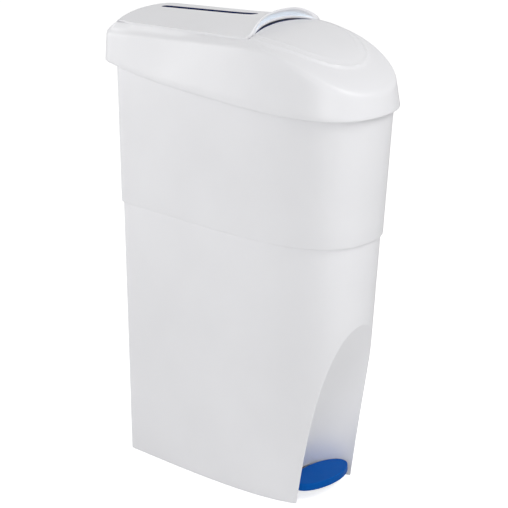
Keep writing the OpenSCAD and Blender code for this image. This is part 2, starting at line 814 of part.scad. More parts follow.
knuckle_half = 37;
knuckle_r = hinge_d / 2 + eye_wall;
rib_t = 3;
rib_x = [14, 33];
crank_w = 10;
crank_t = 4;
slot_back = 13.2;                 // from the slot to the hinge
slot_front = hinge_y - slot_back - slot_len;
module stadium(length, width, height) {
    union() {
        translate([-width / 2, width / 2, 0])
            cube([width, length - width, height]);
        for (y = [width / 2, length - width / 2])
            translate([0, y, 0])
                cylinder(d = width, h = height);
    }
}
module flap_rib(x) {
    front = hinge_y - 2 * knuckle_r;
    back = hinge_y + 1;
    under = deck_top(x, back) - 0.6 * flap_t;
    translate([x - rib_t / 2, 0, 0])
        rotate([90, 0, 90])
            linear_extrude(rib_t)
                polygon([
                    [front, hinge_z], [hinge_y, hinge_z - knuckle_r + 1], [back, hinge_z],
                    [back, under], [front, under]
                ]);
}
module flap() {
    color(white)
        difference() {
            union() {
                difference() {
                    sheet(flap_grid, flap_t, false);
                    translate([0, slot_front, flap_z - 20])
                        stadium(slot_len, slot_w, lip_z - flap_z + 30);
                }
                translate([0, hinge_y, hinge_z])
                    rotate([0, 90, 0])
                        cylinder(r = knuckle_r, h = 2 * knuckle_half, center = true);
                for (side = [-1, 1], x = rib_x)
                    flap_rib(side * x);
                translate([0, hinge_y, hinge_z])
                    rotate([crank_drop, 0, 0]) {
                        translate([-crank_w / 2, -crank_len, -crank_t / 2])
                            cube([crank_w, crank_len, crank_t]);
                        translate([0, -crank_len, 0])
                            rotate([0, 90, 0])
                                cylinder(r = crank_tip_r, h = crank_w, center = true);
                    }
            }
            translate([0, hinge_y, hinge_z])
                rotate([0, 90, 0])
                    cylinder(d = hinge_d + 2 * run_gap, h = 3 * knuckle_half, center = true);
        }
}

lug_t = 6;
lug_r = knuckle_r - 0.7;
module hinge_pin() {
    color(steel)
        translate([0, hinge_y, hinge_z])
            rotate([0, 90, 0])
                cylinder(d = hinge_d, h = 2 * (knuckle_half + lug_t), center = true);
}

// Inner lid: flat plate on the rim with the throat and the hinge lugs.
plate_in = 1.3;                   // plate in from the outside of the sleeve
throat_half = 55;
throat_front = -34.7;
throat_back = 113.3;
throat_drop = 10;
module throat_wall(x, y, wide, deep, top) {
    translate([x, y, rim_z - throat_drop])
        cube([wide, deep, top - rim_z + throat_drop]);
}
module inner_lid() {
    color(blue)
        difference() {
            union() {
                translate([0, 0, rim_z])
                    linear_extrude(plate_t)
                        difference() {
                            polygon(outline(rim_z, wall - plate_in));
                            translate([-throat_half + wall, throat_front + wall])
                                square([2 * (throat_half - wall), throat_back - throat_front - 2 * wall]);
                        }
                translate([0, 0, rim_z - skirt_z])
                    linear_extrude(skirt_z)
                        difference() {
                            polygon(outline(rim_z - skirt_z, -fit_gap));
                            polygon(outline(rim_z - skirt_z, -fit_gap - wall));
                        }
                throat_wall(-throat_half, throat_front, wall, throat_back - throat_front, hinge_z - 3);
                throat_wall(throat_half - wall, throat_front, wall, throat_back - throat_front, hinge_z - 3);
                throat_wall(-throat_half, throat_front, 2 * throat_half, wall, flap_z - 3);
                throat_wall(-throat_half, throat_back - wall, 2 * throat_half, wall, rim_z + 20);
                for (side = [0, 1])
                    mirror([side, 0, 0])
                        translate([knuckle_half + 0.5, hinge_y, 0]) {
                            translate([0, -lug_r, rim_z])
                                cube([lug_t, lug_r + 1, hinge_z - rim_z]);
                            translate([0, 0, hinge_z])
                                rotate([0, 90, 0])
                                    cylinder(r = lug_r, h = lug_t);
                        }
            }
            translate([0, hinge_y, hinge_z])
                rotate([0, 90, 0])
                    cylinder(d = hinge_d + 2 * run_gap, h = 4 * knuckle_half, center = true);
            translate([0, rod_y, rim_z - skirt_z - 1])
                cylinder(d = rod_end_d + 2, h = skirt_z + plate_t + 2);
            for (p = boss_points)
                translate([p.x, p.y, rim_z - skirt_z])
                    cylinder(d = screw_d + screw_clear, h = skirt_z + plate_t + 1);
        }
}

// Tray under the slot that holds the folded bags.
tray_rim = 6.5;                   // tray beyond each side of the slot
tray_w = slot_w + 2 * tray_rim;
tray_t = 2;
tray_deep = 9;
tray_past = 5;                    // tray beyond each end of the slot
module tray_block(wide, end, low, over) {
    y0 = slot_front - tray_past + end;
    y1 = slot_front + slot_len + tray_past - end;
    steps = 8;
    ys = [for (k = [0 : steps]) mix(y0, y1, k / steps)];
    function under(y) = deck_top(tray_w / 2, y) - flap_t - 0.6;
    translate([-wide / 2, 0, 0])
        rotate([90, 0, 90])
            linear_extrude(wide)
                polygon(concat(
                    [for (y = ys) [y, under(y) + over]],
                    [for (y = reversed(ys))
                        [y, mix(under(y0), under(y1), (y - y0) / (y1 - y0)) - tray_deep + low]]
                ));
}
module bag_tray() {
    color(blue)
        difference() {
            tray_block(tray_w, 0, 0, 0);
            tray_block(tray_w - 2 * tray_t, tray_t, tray_t, 5);
        }
}

lower_body();
upper_sleeve();
base_plate();
rubber_feet();
case_screws();
false_floor();
pedal_tread();
tread_screws();
pedal_lever();
pivot_pin();
pivot_caps();
push_rod();
rod_foot();
rod_cap();
rod_guide_lower();
rod_guide_upper();
liner_bucket();
inner_lid();
lid();
lid_screws();
hinge_pin();
flap();
bag_tray();
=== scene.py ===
"""Looks of a pedal-operated washroom hygiene bin, built on its construction model. Sizes are in mm."""
import json
from math import asin, cos, exp, pi, radians, sin

import bmesh
import bpy
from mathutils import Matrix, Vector

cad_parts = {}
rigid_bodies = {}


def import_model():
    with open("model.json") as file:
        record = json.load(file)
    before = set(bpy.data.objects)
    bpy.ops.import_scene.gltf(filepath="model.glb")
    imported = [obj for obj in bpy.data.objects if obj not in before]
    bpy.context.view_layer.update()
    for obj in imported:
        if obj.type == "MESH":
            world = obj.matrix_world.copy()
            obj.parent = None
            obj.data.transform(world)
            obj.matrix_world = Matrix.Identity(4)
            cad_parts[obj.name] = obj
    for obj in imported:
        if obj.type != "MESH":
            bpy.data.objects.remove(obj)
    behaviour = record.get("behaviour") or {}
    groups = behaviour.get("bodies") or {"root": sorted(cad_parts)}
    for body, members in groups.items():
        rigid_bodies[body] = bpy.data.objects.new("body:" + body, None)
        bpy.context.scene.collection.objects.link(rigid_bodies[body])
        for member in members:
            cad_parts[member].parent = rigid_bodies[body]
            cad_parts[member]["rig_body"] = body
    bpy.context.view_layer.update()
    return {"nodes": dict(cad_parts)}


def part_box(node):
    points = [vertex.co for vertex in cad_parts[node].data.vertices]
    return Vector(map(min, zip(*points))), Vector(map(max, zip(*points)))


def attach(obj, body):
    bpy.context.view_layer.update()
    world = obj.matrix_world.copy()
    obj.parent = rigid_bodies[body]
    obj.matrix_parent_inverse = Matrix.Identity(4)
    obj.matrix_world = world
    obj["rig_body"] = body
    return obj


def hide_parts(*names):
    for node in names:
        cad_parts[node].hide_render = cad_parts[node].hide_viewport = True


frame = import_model()

# Base plate and false floor.
# Two black polypropylene plates: one closes the body from below and carries the ears of the pedal pivot,
# the other lies over the linkage and carries the liner bucket. Both are screwed to columns in the body.
MM = 0.001
WELD = 0.002
FLAT_TURN = radians(0.6)
SHARP_TURN = radians(32)


def add_node(tree, kind, **inputs):
    """Adds a node and sets or links the inputs given by name, with _ for a space."""
    made = tree.nodes.new(kind)
    for name, value in inputs.items():
        socket = made.inputs[name.replace("_", " ")]
        if isinstance(value, bpy.types.NodeSocket):
            tree.links.new(value, socket)
        else:
            socket.default_value = value
    return made


def bare_material(name):
    """New material, with its node tree, its shader and the piece's own coordinates."""
    material = bpy.data.materials.new(name)
    material.use_nodes = True
    tree = material.node_tree
    place = add_node(tree, "ShaderNodeTexCoord").outputs["Object"]
    return material, tree, tree.nodes["Principled BSDF"], place


def clouded(tree, shader, noise, dark, light, first=0.0, last=1.0):
    """Lets the colour wander with a noise from a dark tone to a light one."""
    tint = add_node(tree, "ShaderNodeValToRGB", Fac=noise.outputs["Fac"])
    for stop, place, colour in zip(tint.color_ramp.elements, (first, last), (dark, light)):
        stop.position = place
        stop.color = [*colour, 1]
    tree.links.new(tint.outputs["Color"], shader.inputs["Base Color"])


def uneven_gloss(tree, shader, noise, low, high):
    """Lets the roughness wander with a noise."""
    gloss = add_node(tree, "ShaderNodeMapRange", Value=noise.outputs["Fac"], To_Min=low, To_Max=high)
    tree.links.new(gloss.outputs["Result"], shader.inputs["Roughness"])


def grained(tree, shader, noise, strength, depth):
    """Gives the surface a fine relief from a noise, with its depth in mm."""
    bump = add_node(tree, "ShaderNodeBump", Height=noise.outputs["Fac"], Strength=strength,
                    Distance=depth * MM)
    tree.links.new(bump.outputs["Normal"], shader.inputs["Normal"])


def moulded_plastic(name, colour, roughness, grain=0.5, relief=0.03, shine=0.5):
    """Moulded plastic with a faint cloud in its colour, uneven gloss and a fine eroded grain, in mm."""
    material, tree, shader, place = bare_material(name)
    shader.inputs["IOR"].default_value = 1.49
    shader.inputs["Specular IOR Level"].default_value = shine
    cloud = add_node(tree, "ShaderNodeTexNoise", Vector=place, Scale=7.0, Detail=3.0)
    clouded(tree, shader, cloud, [0.97 * c for c in colour], [min(1.02 * c, 1) for c in colour], 0.3, 0.7)
    smear = add_node(tree, "ShaderNodeTexNoise", Vector=place, Scale=35.0, Detail=4.0)
    uneven_gloss(tree, shader, smear, roughness - 0.06, roughness + 0.06)
    eroded = add_node(tree, "ShaderNodeTexNoise", Vector=place, Scale=1 / (grain * MM), Detail=2.0)
    grained(tree, shader, eroded, 0.5, relief)
    return material


def smooth_shaded(mesh, angle=35):
    """Smooth shading that keeps edges sharper than the angle."""
    mesh.polygons.foreach_set("use_smooth", [True] * len(mesh.polygons))
    mesh.set_sharp_from_angle(angle=radians(angle))
    mesh.update()


def new_piece(name, mesh, material):
    """Puts a mesh, whose place is in its points, into the scene."""
    piece = bpy.data.objects.new(name, mesh)
    bpy.context.scene.collection.objects.link(piece)
    mesh.materials.clear()
    mesh.materials.append(material)
    return piece


def softened(node, material, edge=0.4):
    """Stands for a node of the frame with a copy of it whose sharp edges are rounded."""
    source = frame["nodes"][node].data
    shape = bmesh.new()
    points = [shape.verts.new(v.co) for v in source.vertices]
    for polygon in source.polygons:
        shape.faces.new([points[i] for i in polygon.vertices])
    bmesh.ops.remove_doubles(shape, verts=shape.verts, dist=WELD * MM)
    bmesh.ops.dissolve_limit(shape, angle_limit=FLAT_TURN, verts=shape.verts, edges=shape.edges)
    sharp = [e for e in shape.edges if e.is_manifold and e.calc_face_angle() > SHARP_TURN]
    bmesh.ops.bevel(shape, geom=sharp, offset=edge * MM, offset_type="OFFSET", segments=2, profile=0.6,
                    affect="EDGES", clamp_overlap=True)
    mesh = bpy.data.meshes.new(node + "_piece")
    shape.to_mesh(mesh)
    shape.free()
    smooth_shaded(mesh)
    piece = new_piece(node + "_piece", mesh, material)
    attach(piece, frame["nodes"][node]["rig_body"])
    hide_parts(node)
    return piece


black_plastic = moulded_plastic("black_plastic", (0.012, 0.012, 0.014), 0.5, grain=0.6, relief=0.05)
softened("base_plate", black_plastic)
softened("false_floor", black_plastic)

# Lower body.
# The tall white polypropylene moulding, 2.5 mm thick and flat behind, with long curved sides and a foot niche
# under an arch in front. A slot in the niche lets the lever through, and the top laps into the sleeve above.
WALL = 2.5
BACK_W = 118
CORNER_R = 9
SIDE_FLARE = radians(4)
SIDE_REACH = 186
FRONT_REACH = 71
FRONT_SWELL = 0.085
BACK_LEAN = 0.016
FRONT_LEAN = 0.06
BODY_DEPTH = 297
SEAM_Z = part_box("upper_sleeve")[0].z / MM
RIM_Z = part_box("upper_sleeve")[1].z / MM
BACK_Y0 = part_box("lower_body")[1].y / MM - BACK_LEAN * SEAM_Z
NICHE_HALF = 51
NICHE_DEPTH = 76
NICHE_H = 217
NICHE_END = NICHE_H + 15
NICHE_ROUND = 43
NICHE_EDGE_R = 2.2
INNER_EDGE_R = 0.4
NUDGE = 0.001
EDGE_R = 0.8
LAP_H = 18
LAP_GAP = 0.7


def back_y(z):
    return BACK_Y0 + BACK_LEAN * z


def front_y(z):
    return BACK_Y0 - BODY_DEPTH - FRONT_LEAN * z


def mix(a, b, share):
    return a + (b - a) * share


def ease(share):
    """Smooth step from 0 to 1."""
    s = min(max(share, 0), 1)
    return s * s * (3 - 2 * s)


def arc3(first, control, last, s):
    """Curve from first to last that bends round a control point."""
    return (1 - s) ** 2 * first + 2 * s * (1 - s) * control + s * s * last


def crossing(beyond):
    """Share of the way along, from 0 to 1, at which a test begins to hold."""
    low, high = 0.0, 1.0
    for _ in range(40):
        middle = (low + high) / 2
        if beyond(middle):
            high = middle
        else:
            low = middle
    return low


def corners(node):
    """Lowest and highest corner of a node's box."""
    return [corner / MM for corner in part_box(node)]


def side_curve(yb, yf, reach, leave=SIDE_REACH):
    """Control points of one side, from the back corner to the tip of the front."""
    along = Vector((cos(SIDE_FLARE), sin(SIDE_FLARE)))
    start = Vector((BACK_W / 2 - CORNER_R, yb - CORNER_R)) + CORNER_R * along
    return start, start + leave * Vector((along.y, -along.x)), Vector((reach, yf)), Vector((0, yf))


def side_station(p, t):
    """Point of a side curve and its outward normal."""
    s = 1 - t
    point = s ** 3 * p[0] + 3 * s * s * t * p[1] + 3 * s * t * t * p[2] + t ** 3 * p[3]
    way = (s * s * (p[1] - p[0]) + 2 * s * t * (p[2] - p[1]) + t * t * (p[3] - p[2])).normalized()
    return point, Vector((-way.y, way.x))


def back_stations(yb, flat, round_):
    """Stations over half of the flat back and round its corner, up to where the side begins."""
    centre = Vector((BACK_W / 2 - CORNER_R, yb - CORNER_R))
    found = [(Vector((centre.x * k / flat, yb)), Vector((0, 1))) for k in range(flat)]
    for k in range(round_):
        turn = pi / 2 - (pi / 2 - SIDE_FLARE) * k / round_
        way = Vector((cos(turn), sin(turn)))
        found.append((centre + CORNER_R * way, way))
    return found


def body_curve(z):
    return side_curve(back_y(z), front_y(z), FRONT_REACH + FRONT_SWELL * z)


def body_half(z, off, side=84):
    """Half of the plain plan outline at a height, grown outwards."""
    curve = body_curve(z)
    found = back_stations(back_y(z), 6, 10) + [side_station(curve, k / side) for k in range(side + 1)]
    return [point + off * normal for point, normal in found]


def whole(half):
    """Closes a half outline, from the middle of the back to the front, by its mirror image."""
    other = [type(p)((-p.x, *p[1:])) for p in half[-2:0:-1]]
    return half + other


def lifted(outline, z):
    return [Vector((p.x, p.y, z)) for p in outline]


def ring_skin(name, rows, material, closed=True):
    """Skin over rings of points: the last ring joins the first, or both end in a flat cap."""
    count = len(rows[0])
    mesh = bpy.data.meshes.new(name)
    faces = []
    for r in range(len(rows) if closed else len(rows) - 1):
        low = r * count
        high = (r + 1) % len(rows) * count
        for i in range(count):
            j = (i + 1) % count
            faces.append((low + i, low + j, high + j, high + i))
    if not closed:
        faces.append(tuple(range(count)))
        faces.append(tuple(range((len(rows) - 1) * count, len(rows) * count)))
    mesh.from_pydata([p * MM for row in rows for p in row], [], faces)
    shape = bmesh.new()
    shape.from_mesh(mesh)
    bmesh.ops.recalc_face_normals(shape, faces=shape.faces)
    shape.to_mesh(mesh)
    shape.free()
    smooth_shaded(mesh)
    return new_piece(name, mesh, material)


def niche_wall(angle, z, off):
    """Point of the niche wall in plan; the angle is 0 in the middle and a quarter turn at its side."""
    middle = front_y(0) + NICHE_DEPTH + (front_y(NICHE_H) - front_y(0) - NICHE_DEPTH) * z / NICHE_H
    bend = NICHE_ROUND * (1 - z / NICHE_END) - off
    return Vector(((NICHE_HALF - off) * sin(angle), middle - off - bend * (1 - cos(angle))))


def niched_half(z, off, edge_round):
    """Half outline of the lower body: along the side, round the niche's edge, and along the niche wall."""
    curve = body_curve(z)
    arch_z = min(z, NICHE_H * 0.9995)
    half = NICHE_HALF - off

    def in_niche(t):
        point, normal = side_station(curve, t)
        point = point + off * normal
        return point.x < half and point.y < niche_wall(asin(point.x / half), arch_z, off).y

    share = crossing(in_niche)
    found = [point + off * normal for point, normal in back_stations(back_y(z), 6, 10)]
    meeting, normal = side_station(curve, share)
    edge = meeting + off * normal
    rounding = min(edge_round, 0.4 * abs(edge.x))
    step = side_station(curve, share - NUDGE)[0] - meeting
    before = share - NUDGE * rounding / step.length
    for k in range(64):
        point, normal = side_station(curve, before * k / 63)
        found.append(point + off * normal)
    if z > NICHE_H:
        for k in range(1, 47):
            point, normal = side_station(curve, mix(before, 1, k / 46))
            found.append(point + off * normal)
        return found
    turn = asin(min(edge.x / half, 1))
    step = niche_wall(turn - NUDGE, z, off) - niche_wall(turn, z, off)
    after = turn - NUDGE * rounding / step.length
    first, last = found[-1], niche_wall(after, z, off)
    found += [arc3(first, edge, last, k / 6) for k in range(1, 7)]
    found += [niche_wall(after * (1 - k / 40), z, off) for k in range(1, 41)]
    return found


def rounded_rows(z, off, radius, up):
    """Heights and offsets round an outer edge, from the flat end to the wall."""
    turns = [0, radians(30), radians(60), pi / 2]
    return [(z + up * radius * (1 - cos(a)), off - radius * (1 - sin(a))) for a in turns]


def settled(piece, modifier):
    """Turns a piece and the modifier on it into a plain mesh."""
    mesh = bpy.data.meshes.new_from_object(piece.evaluated_get(bpy.context.evaluated_depsgraph_get()))
    piece.modifiers.remove(modifier)
    piece.data = mesh
    smooth_shaded(mesh)


def tube(name, place, low, high, radius, bore, material):
    """Upright round column with a hole through it."""
    rows = []
    for z, r in ((low, radius), (high, radius), (high, bore), (low, bore)):
        turns = [2 * pi * k / 32 for k in range(32)]
        rows.append([Vector((place[0] + r * cos(a), place[1] + r * sin(a), z)) for a in turns])
    return ring_skin(name, rows, material)


white_plastic = moulded_plastic("white_plastic", (0.805, 0.805, 0.825), 0.4)
arch_rows = [NICHE_H * sin(radians(a)) for a in range(2, 88, 2)]
arch_rows += [NICHE_H * s for s in (0.9992, 1.004, 1.012, 1.03)]
outer = rounded_rows(0, 0, EDGE_R, 1) + [(z, 0) for z in arch_rows]
outer += [(240, 0), (270, 0), (SEAM_Z, 0), (SEAM_Z, -LAP_GAP), (SEAM_Z + LAP_H, -LAP_GAP)]
inner = [(SEAM_Z + LAP_H, -LAP_GAP - WALL), (SEAM_Z, -LAP_GAP - WALL), (SEAM_Z - 2, -WALL), (270, -WALL)]
inner += [(z, -WALL) for z in reversed(arch_rows)] + [(0.6, -WALL), (0, -WALL + 0.5)]
body_rings = [lifted(whole(niched_half(z, off, NICHE_EDGE_R)), z) for z, off in outer]
body_rings += [lifted(whole(niched_half(z, off, INNER_EDGE_R)), z) for z, off in inner]
lower_body = ring_skin("lower_body_shell", body_rings, white_plastic)

LEVER_T = 3
LEVER_TRAVEL = 5
LEVER_SIDE = 2
LEVER_OVER = 1.2
CUT_LEAD = 12
CUT_DEPTH = 30
lever_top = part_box("pedal_tread")[1].z / MM - WALL
lever_half = corners("pedal_lever")[1].x + LEVER_SIDE
cut_low, cut_high = lever_top - LEVER_T - LEVER_TRAVEL, lever_top + LEVER_OVER
cut_front = niche_wall(0, cut_low, 0).y - CUT_LEAD
cut_back = cut_front + CUT_DEPTH
cut_corners = [(-1, cut_front), (1, cut_front), (1, cut_back), (-1, cut_back)]
cut_rings = [[Vector((side * lever_half, y, z)) for side, y in cut_corners] for z in (cut_low, cut_high)]
cutter = ring_skin("lever_slot", cut_rings, white_plastic, closed=False)
cut = lower_body.modifiers.new("lever_slot", "BOOLEAN")
cut.object = cutter
cut.solver = "EXACT"
settled(lower_body, cut)
bpy.data.objects.remove(cutter)
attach(lower_body, "root")
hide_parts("lower_body")

# Upper sleeve.
# The second white moulding, pushed over the top of the lower body. It stands 2.5 mm proud all round, so the
# seam shows as a step with a thin shadow. A ledge inside stops it, and its rim dips under the lid's nose.
LEDGE_Z = SEAM_Z + LAP_H + 0.3
LEDGE_H = 3
NOSE_DIP = 8
DIP_FROM = -140
DIP_RUN = 30
DIP_HEIGHT = 50


def dipped(point):
    """Lowers a point of the rim towards the nose, where the lid leaves less height."""
    fall = NOSE_DIP * ease((DIP_FROM - point.y) / DIP_RUN) * ease((point.z - RIM_Z) / DIP_HEIGHT + 1)
    return Vector((point.x, point.y, point.z - fall))


sleeve_rows = rounded_rows(SEAM_Z, WALL, EDGE_R, 1)
sleeve_rows += [(mix(SEAM_Z, RIM_Z, k / 8), WALL) for k in range(1, 8)]
sleeve_rows += list(reversed(rounded_rows(RIM_Z, WALL, 0.6, -1)))
sleeve_rows += [(RIM_Z, 0.4), (RIM_Z - 0.4, 0), (LEDGE_Z + LEDGE_H, 0), (LEDGE_Z + LEDGE_H, 0.3 - WALL)]
sleeve_rows += [(LEDGE_Z, 0.3 - WALL), (LEDGE_Z, 0), (SEAM_Z + 0.4, 0), (SEAM_Z, 0.4)]
sleeve_rings = [[dipped(p) for p in lifted(whole(body_half(z, off)), z)] for z, off in sleeve_rows]
sleeve = ring_skin("upper_sleeve_shell", sleeve_rings, white_plastic)
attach(sleeve, "root")
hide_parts("upper_sleeve")

# Screws and rubber feet.
# Zinc-plated pan-head screws hold the plates, the tread and the lid; four rubber feet are glued under the
# base plate. Node trees build one of each from its sizes and set it at every place.


def node_tree(name, **sizes):
    """Geometry node tree with points and named sizes going in, and a mesh coming out."""
    tree = bpy.data.node_groups.new(name, "GeometryNodeTree")
    tree.interface.new_socket("Geometry", in_out="OUTPUT", socket_type="NodeSocketGeometry")
    tree.interface.new_socket("Geometry", in_out="INPUT", socket_type="NodeSocketGeometry")
    for size, value in sizes.items():
        socket = tree.interface.new_socket(size, in_out="INPUT", socket_type="NodeSocketFloat")
        socket.default_value = value
    tree.interface.new_socket("Material", in_out="INPUT", socket_type="NodeSocketMaterial")
    given = tree.nodes.new("NodeGroupInput").outputs
    return tree, given


def worked_out(tree, operation, *values):
    """Result of a math node on sockets or numbers."""
    made = tree.nodes.new("ShaderNodeMath")
    made.operation = operation
    for socket, value in zip(made.inputs, values):
        if isinstance(value, bpy.types.NodeSocket):
            tree.links.new(value, socket)
        else:
            socket.default_value = value
    return made.outputs[0]


def times(tree, value, factor):
    return worked_out(tree, "MULTIPLY", value, factor)


def turned_solid(tree, radius, steps, segments):
    """Solid of revolution standing on z = 0: each step climbs and then widens its end by a factor."""
    disc = add_node(tree, "GeometryNodeMeshCircle", Vertices=segments, Radius=radius)
    disc.fill_type = "NGON"
    mesh = disc.outputs["Mesh"]
    top = None
    for climb, widen in steps:
        grown = add_node(tree, "GeometryNodeExtrudeMesh", Mesh=mesh, Offset_Scale=climb)
        if top is not None:
            tree.links.new(top, grown.inputs["Selection"])
        top = grown.outputs["Top"]
        sized = add_node(tree, "GeometryNodeScaleElements", Geometry=grown.outputs["Mesh"], Selection=top,
                         Scale=widen)
        mesh = sized.outputs["Geometry"]
    foot = add_node(tree, "GeometryNodeFlipFaces", Mesh=disc.outputs["Mesh"])
    both = add_node(tree, "GeometryNodeJoinGeometry")
    tree.links.new(mesh, both.inputs[0])
    tree.links.new(foot.outputs["Mesh"], both.inputs[0])
    return add_node(tree, "GeometryNodeMergeByDistance", Geometry=both.outputs[0], Distance=1e-6).outputs[0]


def set_at_points(tree, given, solid):
    """Sets a solid at every point, its z along the point's facing, and ends the tree."""
    facing = add_node(tree, "GeometryNodeInputNamedAttribute", Name="facing")
    facing.data_type = "FLOAT_VECTOR"
    turn = add_node(tree, "FunctionNodeAlignRotationToVector", Vector=facing.outputs["Attribute"])
    turn.axis = "Z"
    copies = add_node(tree, "GeometryNodeInstanceOnPoints", Points=given["Geometry"], Instance=solid,
                      Rotation=turn.outputs["Rotation"])
    real = add_node(tree, "GeometryNodeRealizeInstances", Geometry=copies.outputs["Instances"])
    painted = add_node(tree, "GeometryNodeSetMaterial", Geometry=real.outputs["Geometry"])
    tree.links.new(given["Material"], painted.inputs["Material"])
    leaves = tree.nodes.new("NodeGroupOutput")
    tree.links.new(painted.outputs["Geometry"], leaves.inputs["Geometry"])


def grown_piece(name, tree, places, material, **sizes):
    """Runs a node tree on points, each a place and a facing, and keeps the result as a plain mesh."""
    mesh = bpy.data.meshes.new(name + "_places")
    mesh.from_pydata([Vector(place) * MM for place, _ in places], [], [])
    facing = mesh.attributes.new("facing", "FLOAT_VECTOR", "POINT")
    for item, (_, way) in zip(facing.data, places):
        item.vector = way
    piece = bpy.data.objects.new(name, mesh)
    bpy.context.scene.collection.objects.link(piece)
    maker = piece.modifiers.new("maker", "NODES")
    maker.node_group = tree
    for item in tree.interface.items_tree:
        if item.in_out == "INPUT" and item.name in sizes:
            maker[item.identifier] = sizes[item.name]
        elif item.in_out == "INPUT" and item.name == "Material":
            maker[item.identifier] = material
    settled(piece, maker)
    piece.data.name = name
    return piece


def plated_steel():
    """Bright zinc plate with a slight yellow-grey cloud and fine drawn lines."""
    material, tree, shader, place = bare_material("plated_steel")
    shader.inputs["Metallic"].default_value = 1.0
    cloud = add_node(tree, "ShaderNodeTexNoise", Vector=place, Scale=60.0, Detail=4.0)
    clouded(tree, shader, cloud, (0.50, 0.51, 0.52), (0.66, 0.66, 0.64))
    uneven_gloss(tree, shader, cloud, 0.25, 0.42)
    lines = add_node(tree, "ShaderNodeTexNoise", Vector=place, Scale=1500.0, Detail=1.0)
    grained(tree, shader, lines, 0.3, 0.02)
    return material


def foot_rubber():
    """Dull dark rubber with a dusty cloud and a coarse grain."""
    material, tree, shader, place = bare_material("foot_rubber")
    shader.inputs["Roughness"].default_value = 0.85
    dust = add_node(tree, "ShaderNodeTexNoise", Vector=place, Scale=150.0, Detail=5.0)
    clouded(tree, shader, dust, (0.012, 0.012, 0.012), (0.035, 0.034, 0.033))
    grained(tree, shader, dust, 0.6, 0.1)
    return material


SCREW_R = 1.5
HEAD_R = SCREW_R + 1.3
HEAD_H = 1.5
SCREW_GRIP = 9
PLATE_T = 3
steel = plated_steel()
screw_tree, given = node_tree("pan_head_screw", Head=HEAD_R * MM, Height=HEAD_H * MM, Shank=SCREW_R * MM,
                              Length=12 * MM)
blank = turned_solid(screw_tree, times(screw_tree, given["Head"], 0.72), [
    (times(screw_tree, given["Height"], 0.12), 1.19),
    (times(screw_tree, given["Height"], 0.2), 1.167),
    (times(screw_tree, given["Height"], 0.68), 1.0),
    (0.0, worked_out(screw_tree, "DIVIDE", given["Shank"], given["Head"])),
    (times(screw_tree, given["Length"], 0.9), 1.0),
    (times(screw_tree, given["Length"], 0.1), 0.4),
], 28)
for turn in (0, pi / 2):
    bar_size = add_node(screw_tree, "ShaderNodeCombineXYZ", X=times(screw_tree, given["Head"], 1.1),
                        Y=times(screw_tree, given["Head"], 0.24), Z=times(screw_tree, given["Height"], 1.2))
    bar = add_node(screw_tree, "GeometryNodeMeshCube", Size=bar_size.outputs[0])
    set_bar = add_node(screw_tree, "GeometryNodeTransform", Geometry=bar.outputs["Mesh"],
                       Rotation=(0, 0, turn))
    recess = add_node(screw_tree, "GeometryNodeMeshBoolean", Mesh_1=blank)
    recess.solver = "EXACT"
    screw_tree.links.new(set_bar.outputs[0], recess.inputs["Mesh 2"])
    blank = recess.outputs["Mesh"]
tidied = add_node(screw_tree, "GeometryNodeMergeByDistance", Geometry=blank, Distance=0.01 * MM)
set_at_points(screw_tree, given, tidied.outputs[0])

UP = (0, 0, 1)
DOWN = (0, 0, -1)
COLUMN_R = SCREW_R + 3.5
COLUMN_SINK = 1.5
COLUMN_SHARES = (2 / 18, 10 / 18)
deck_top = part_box("false_floor")[1].z / MM
base_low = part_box("base_plate")[0].z / MM
columns = []
for share in COLUMN_SHARES:
    point, normal = side_station(body_curve(0), share)
    point = point - (WALL + COLUMN_R - COLUMN_SINK) * normal
    columns += [(point.x, point.y), (-point.x, point.y)]
plate_top = base_low + PLATE_T
for place in columns:
    column = tube("screw_column", place, plate_top, deck_top - PLATE_T, COLUMN_R, SCREW_R, white_plastic)
    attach(column, "root")
low_places = [((x, y, base_low - HEAD_H), UP) for x, y in columns]
low_screws = grown_piece("base_screws", screw_tree, low_places, steel, Length=(PLATE_T + SCREW_GRIP) * MM)
high_places = [((x, y, deck_top), DOWN) for x, y in columns]
high_screws = grown_piece("floor_screws", screw_tree, high_places, steel,
                          Length=(PLATE_T - HEAD_H + SCREW_GRIP) * MM)
for screws in (low_screws, high_screws):
    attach(screws, "root")
    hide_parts("case_screws")

FOOT_R = 8
FOOT_INSET = 24
foot_tree, given = node_tree("rubber_foot", Radius=FOOT_R * MM, Height=base_low * MM)
foot = turned_solid(foot_tree, times(foot_tree, given["Radius"], 0.78), [
    (times(foot_tree, given["Height"], 0.12), 1.08),
    (times(foot_tree, given["Height"], 0.25), 1.07),
    (times(foot_tree, given["Height"], 0.63), 1.109),
], 40)
set_at_points(foot_tree, given, foot)
pivot_low, pivot_high = corners("pivot_pin")
pivot_y = (pivot_low.y + pivot_high.y) / 2
foot_x = BACK_W / 2 - FOOT_INSET
foot_ys = (BACK_Y0 - FOOT_INSET, pivot_y + FOOT_INSET)
feet_places = [((x, y, 0), UP) for x in (-foot_x, foot_x) for y in foot_ys]
feet = grown_piece("floor_feet", foot_tree, feet_places, foot_rubber())
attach(feet, "root")
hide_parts("rubber_feet")

# Pedal tread.
# An oval blue moulding that covers the end of the steel lever, hollow below, with a smooth top and a rounded
# edge. Two screws from below hold it to the lever.
TREAD_WALL = 2.5
TREAD_SCREW_X = 6
TREAD_SCREW_GRIP = 0.9
tread_low, tread_high = corners("pedal_tread")
tread_y = (tread_low.y + tread_high.y) / 2
tread_half_w = tread_high.x
tread_half_d = (tread_high.y - tread_low.y) / 2
blue_plastic = moulded_plastic("blue_plastic", (0.0005, 0.085, 0.37), 0.45, shine=0.06)


def tread_oval(inset, z):
    """Oval outline of the tread at a height."""
    across, along = tread_half_w - inset, tread_half_d - inset
    turns = [2 * pi * k / 120 for k in range(120)]
    return [Vector((across * cos(a), tread_y + along * sin(a), z)) for a in turns]


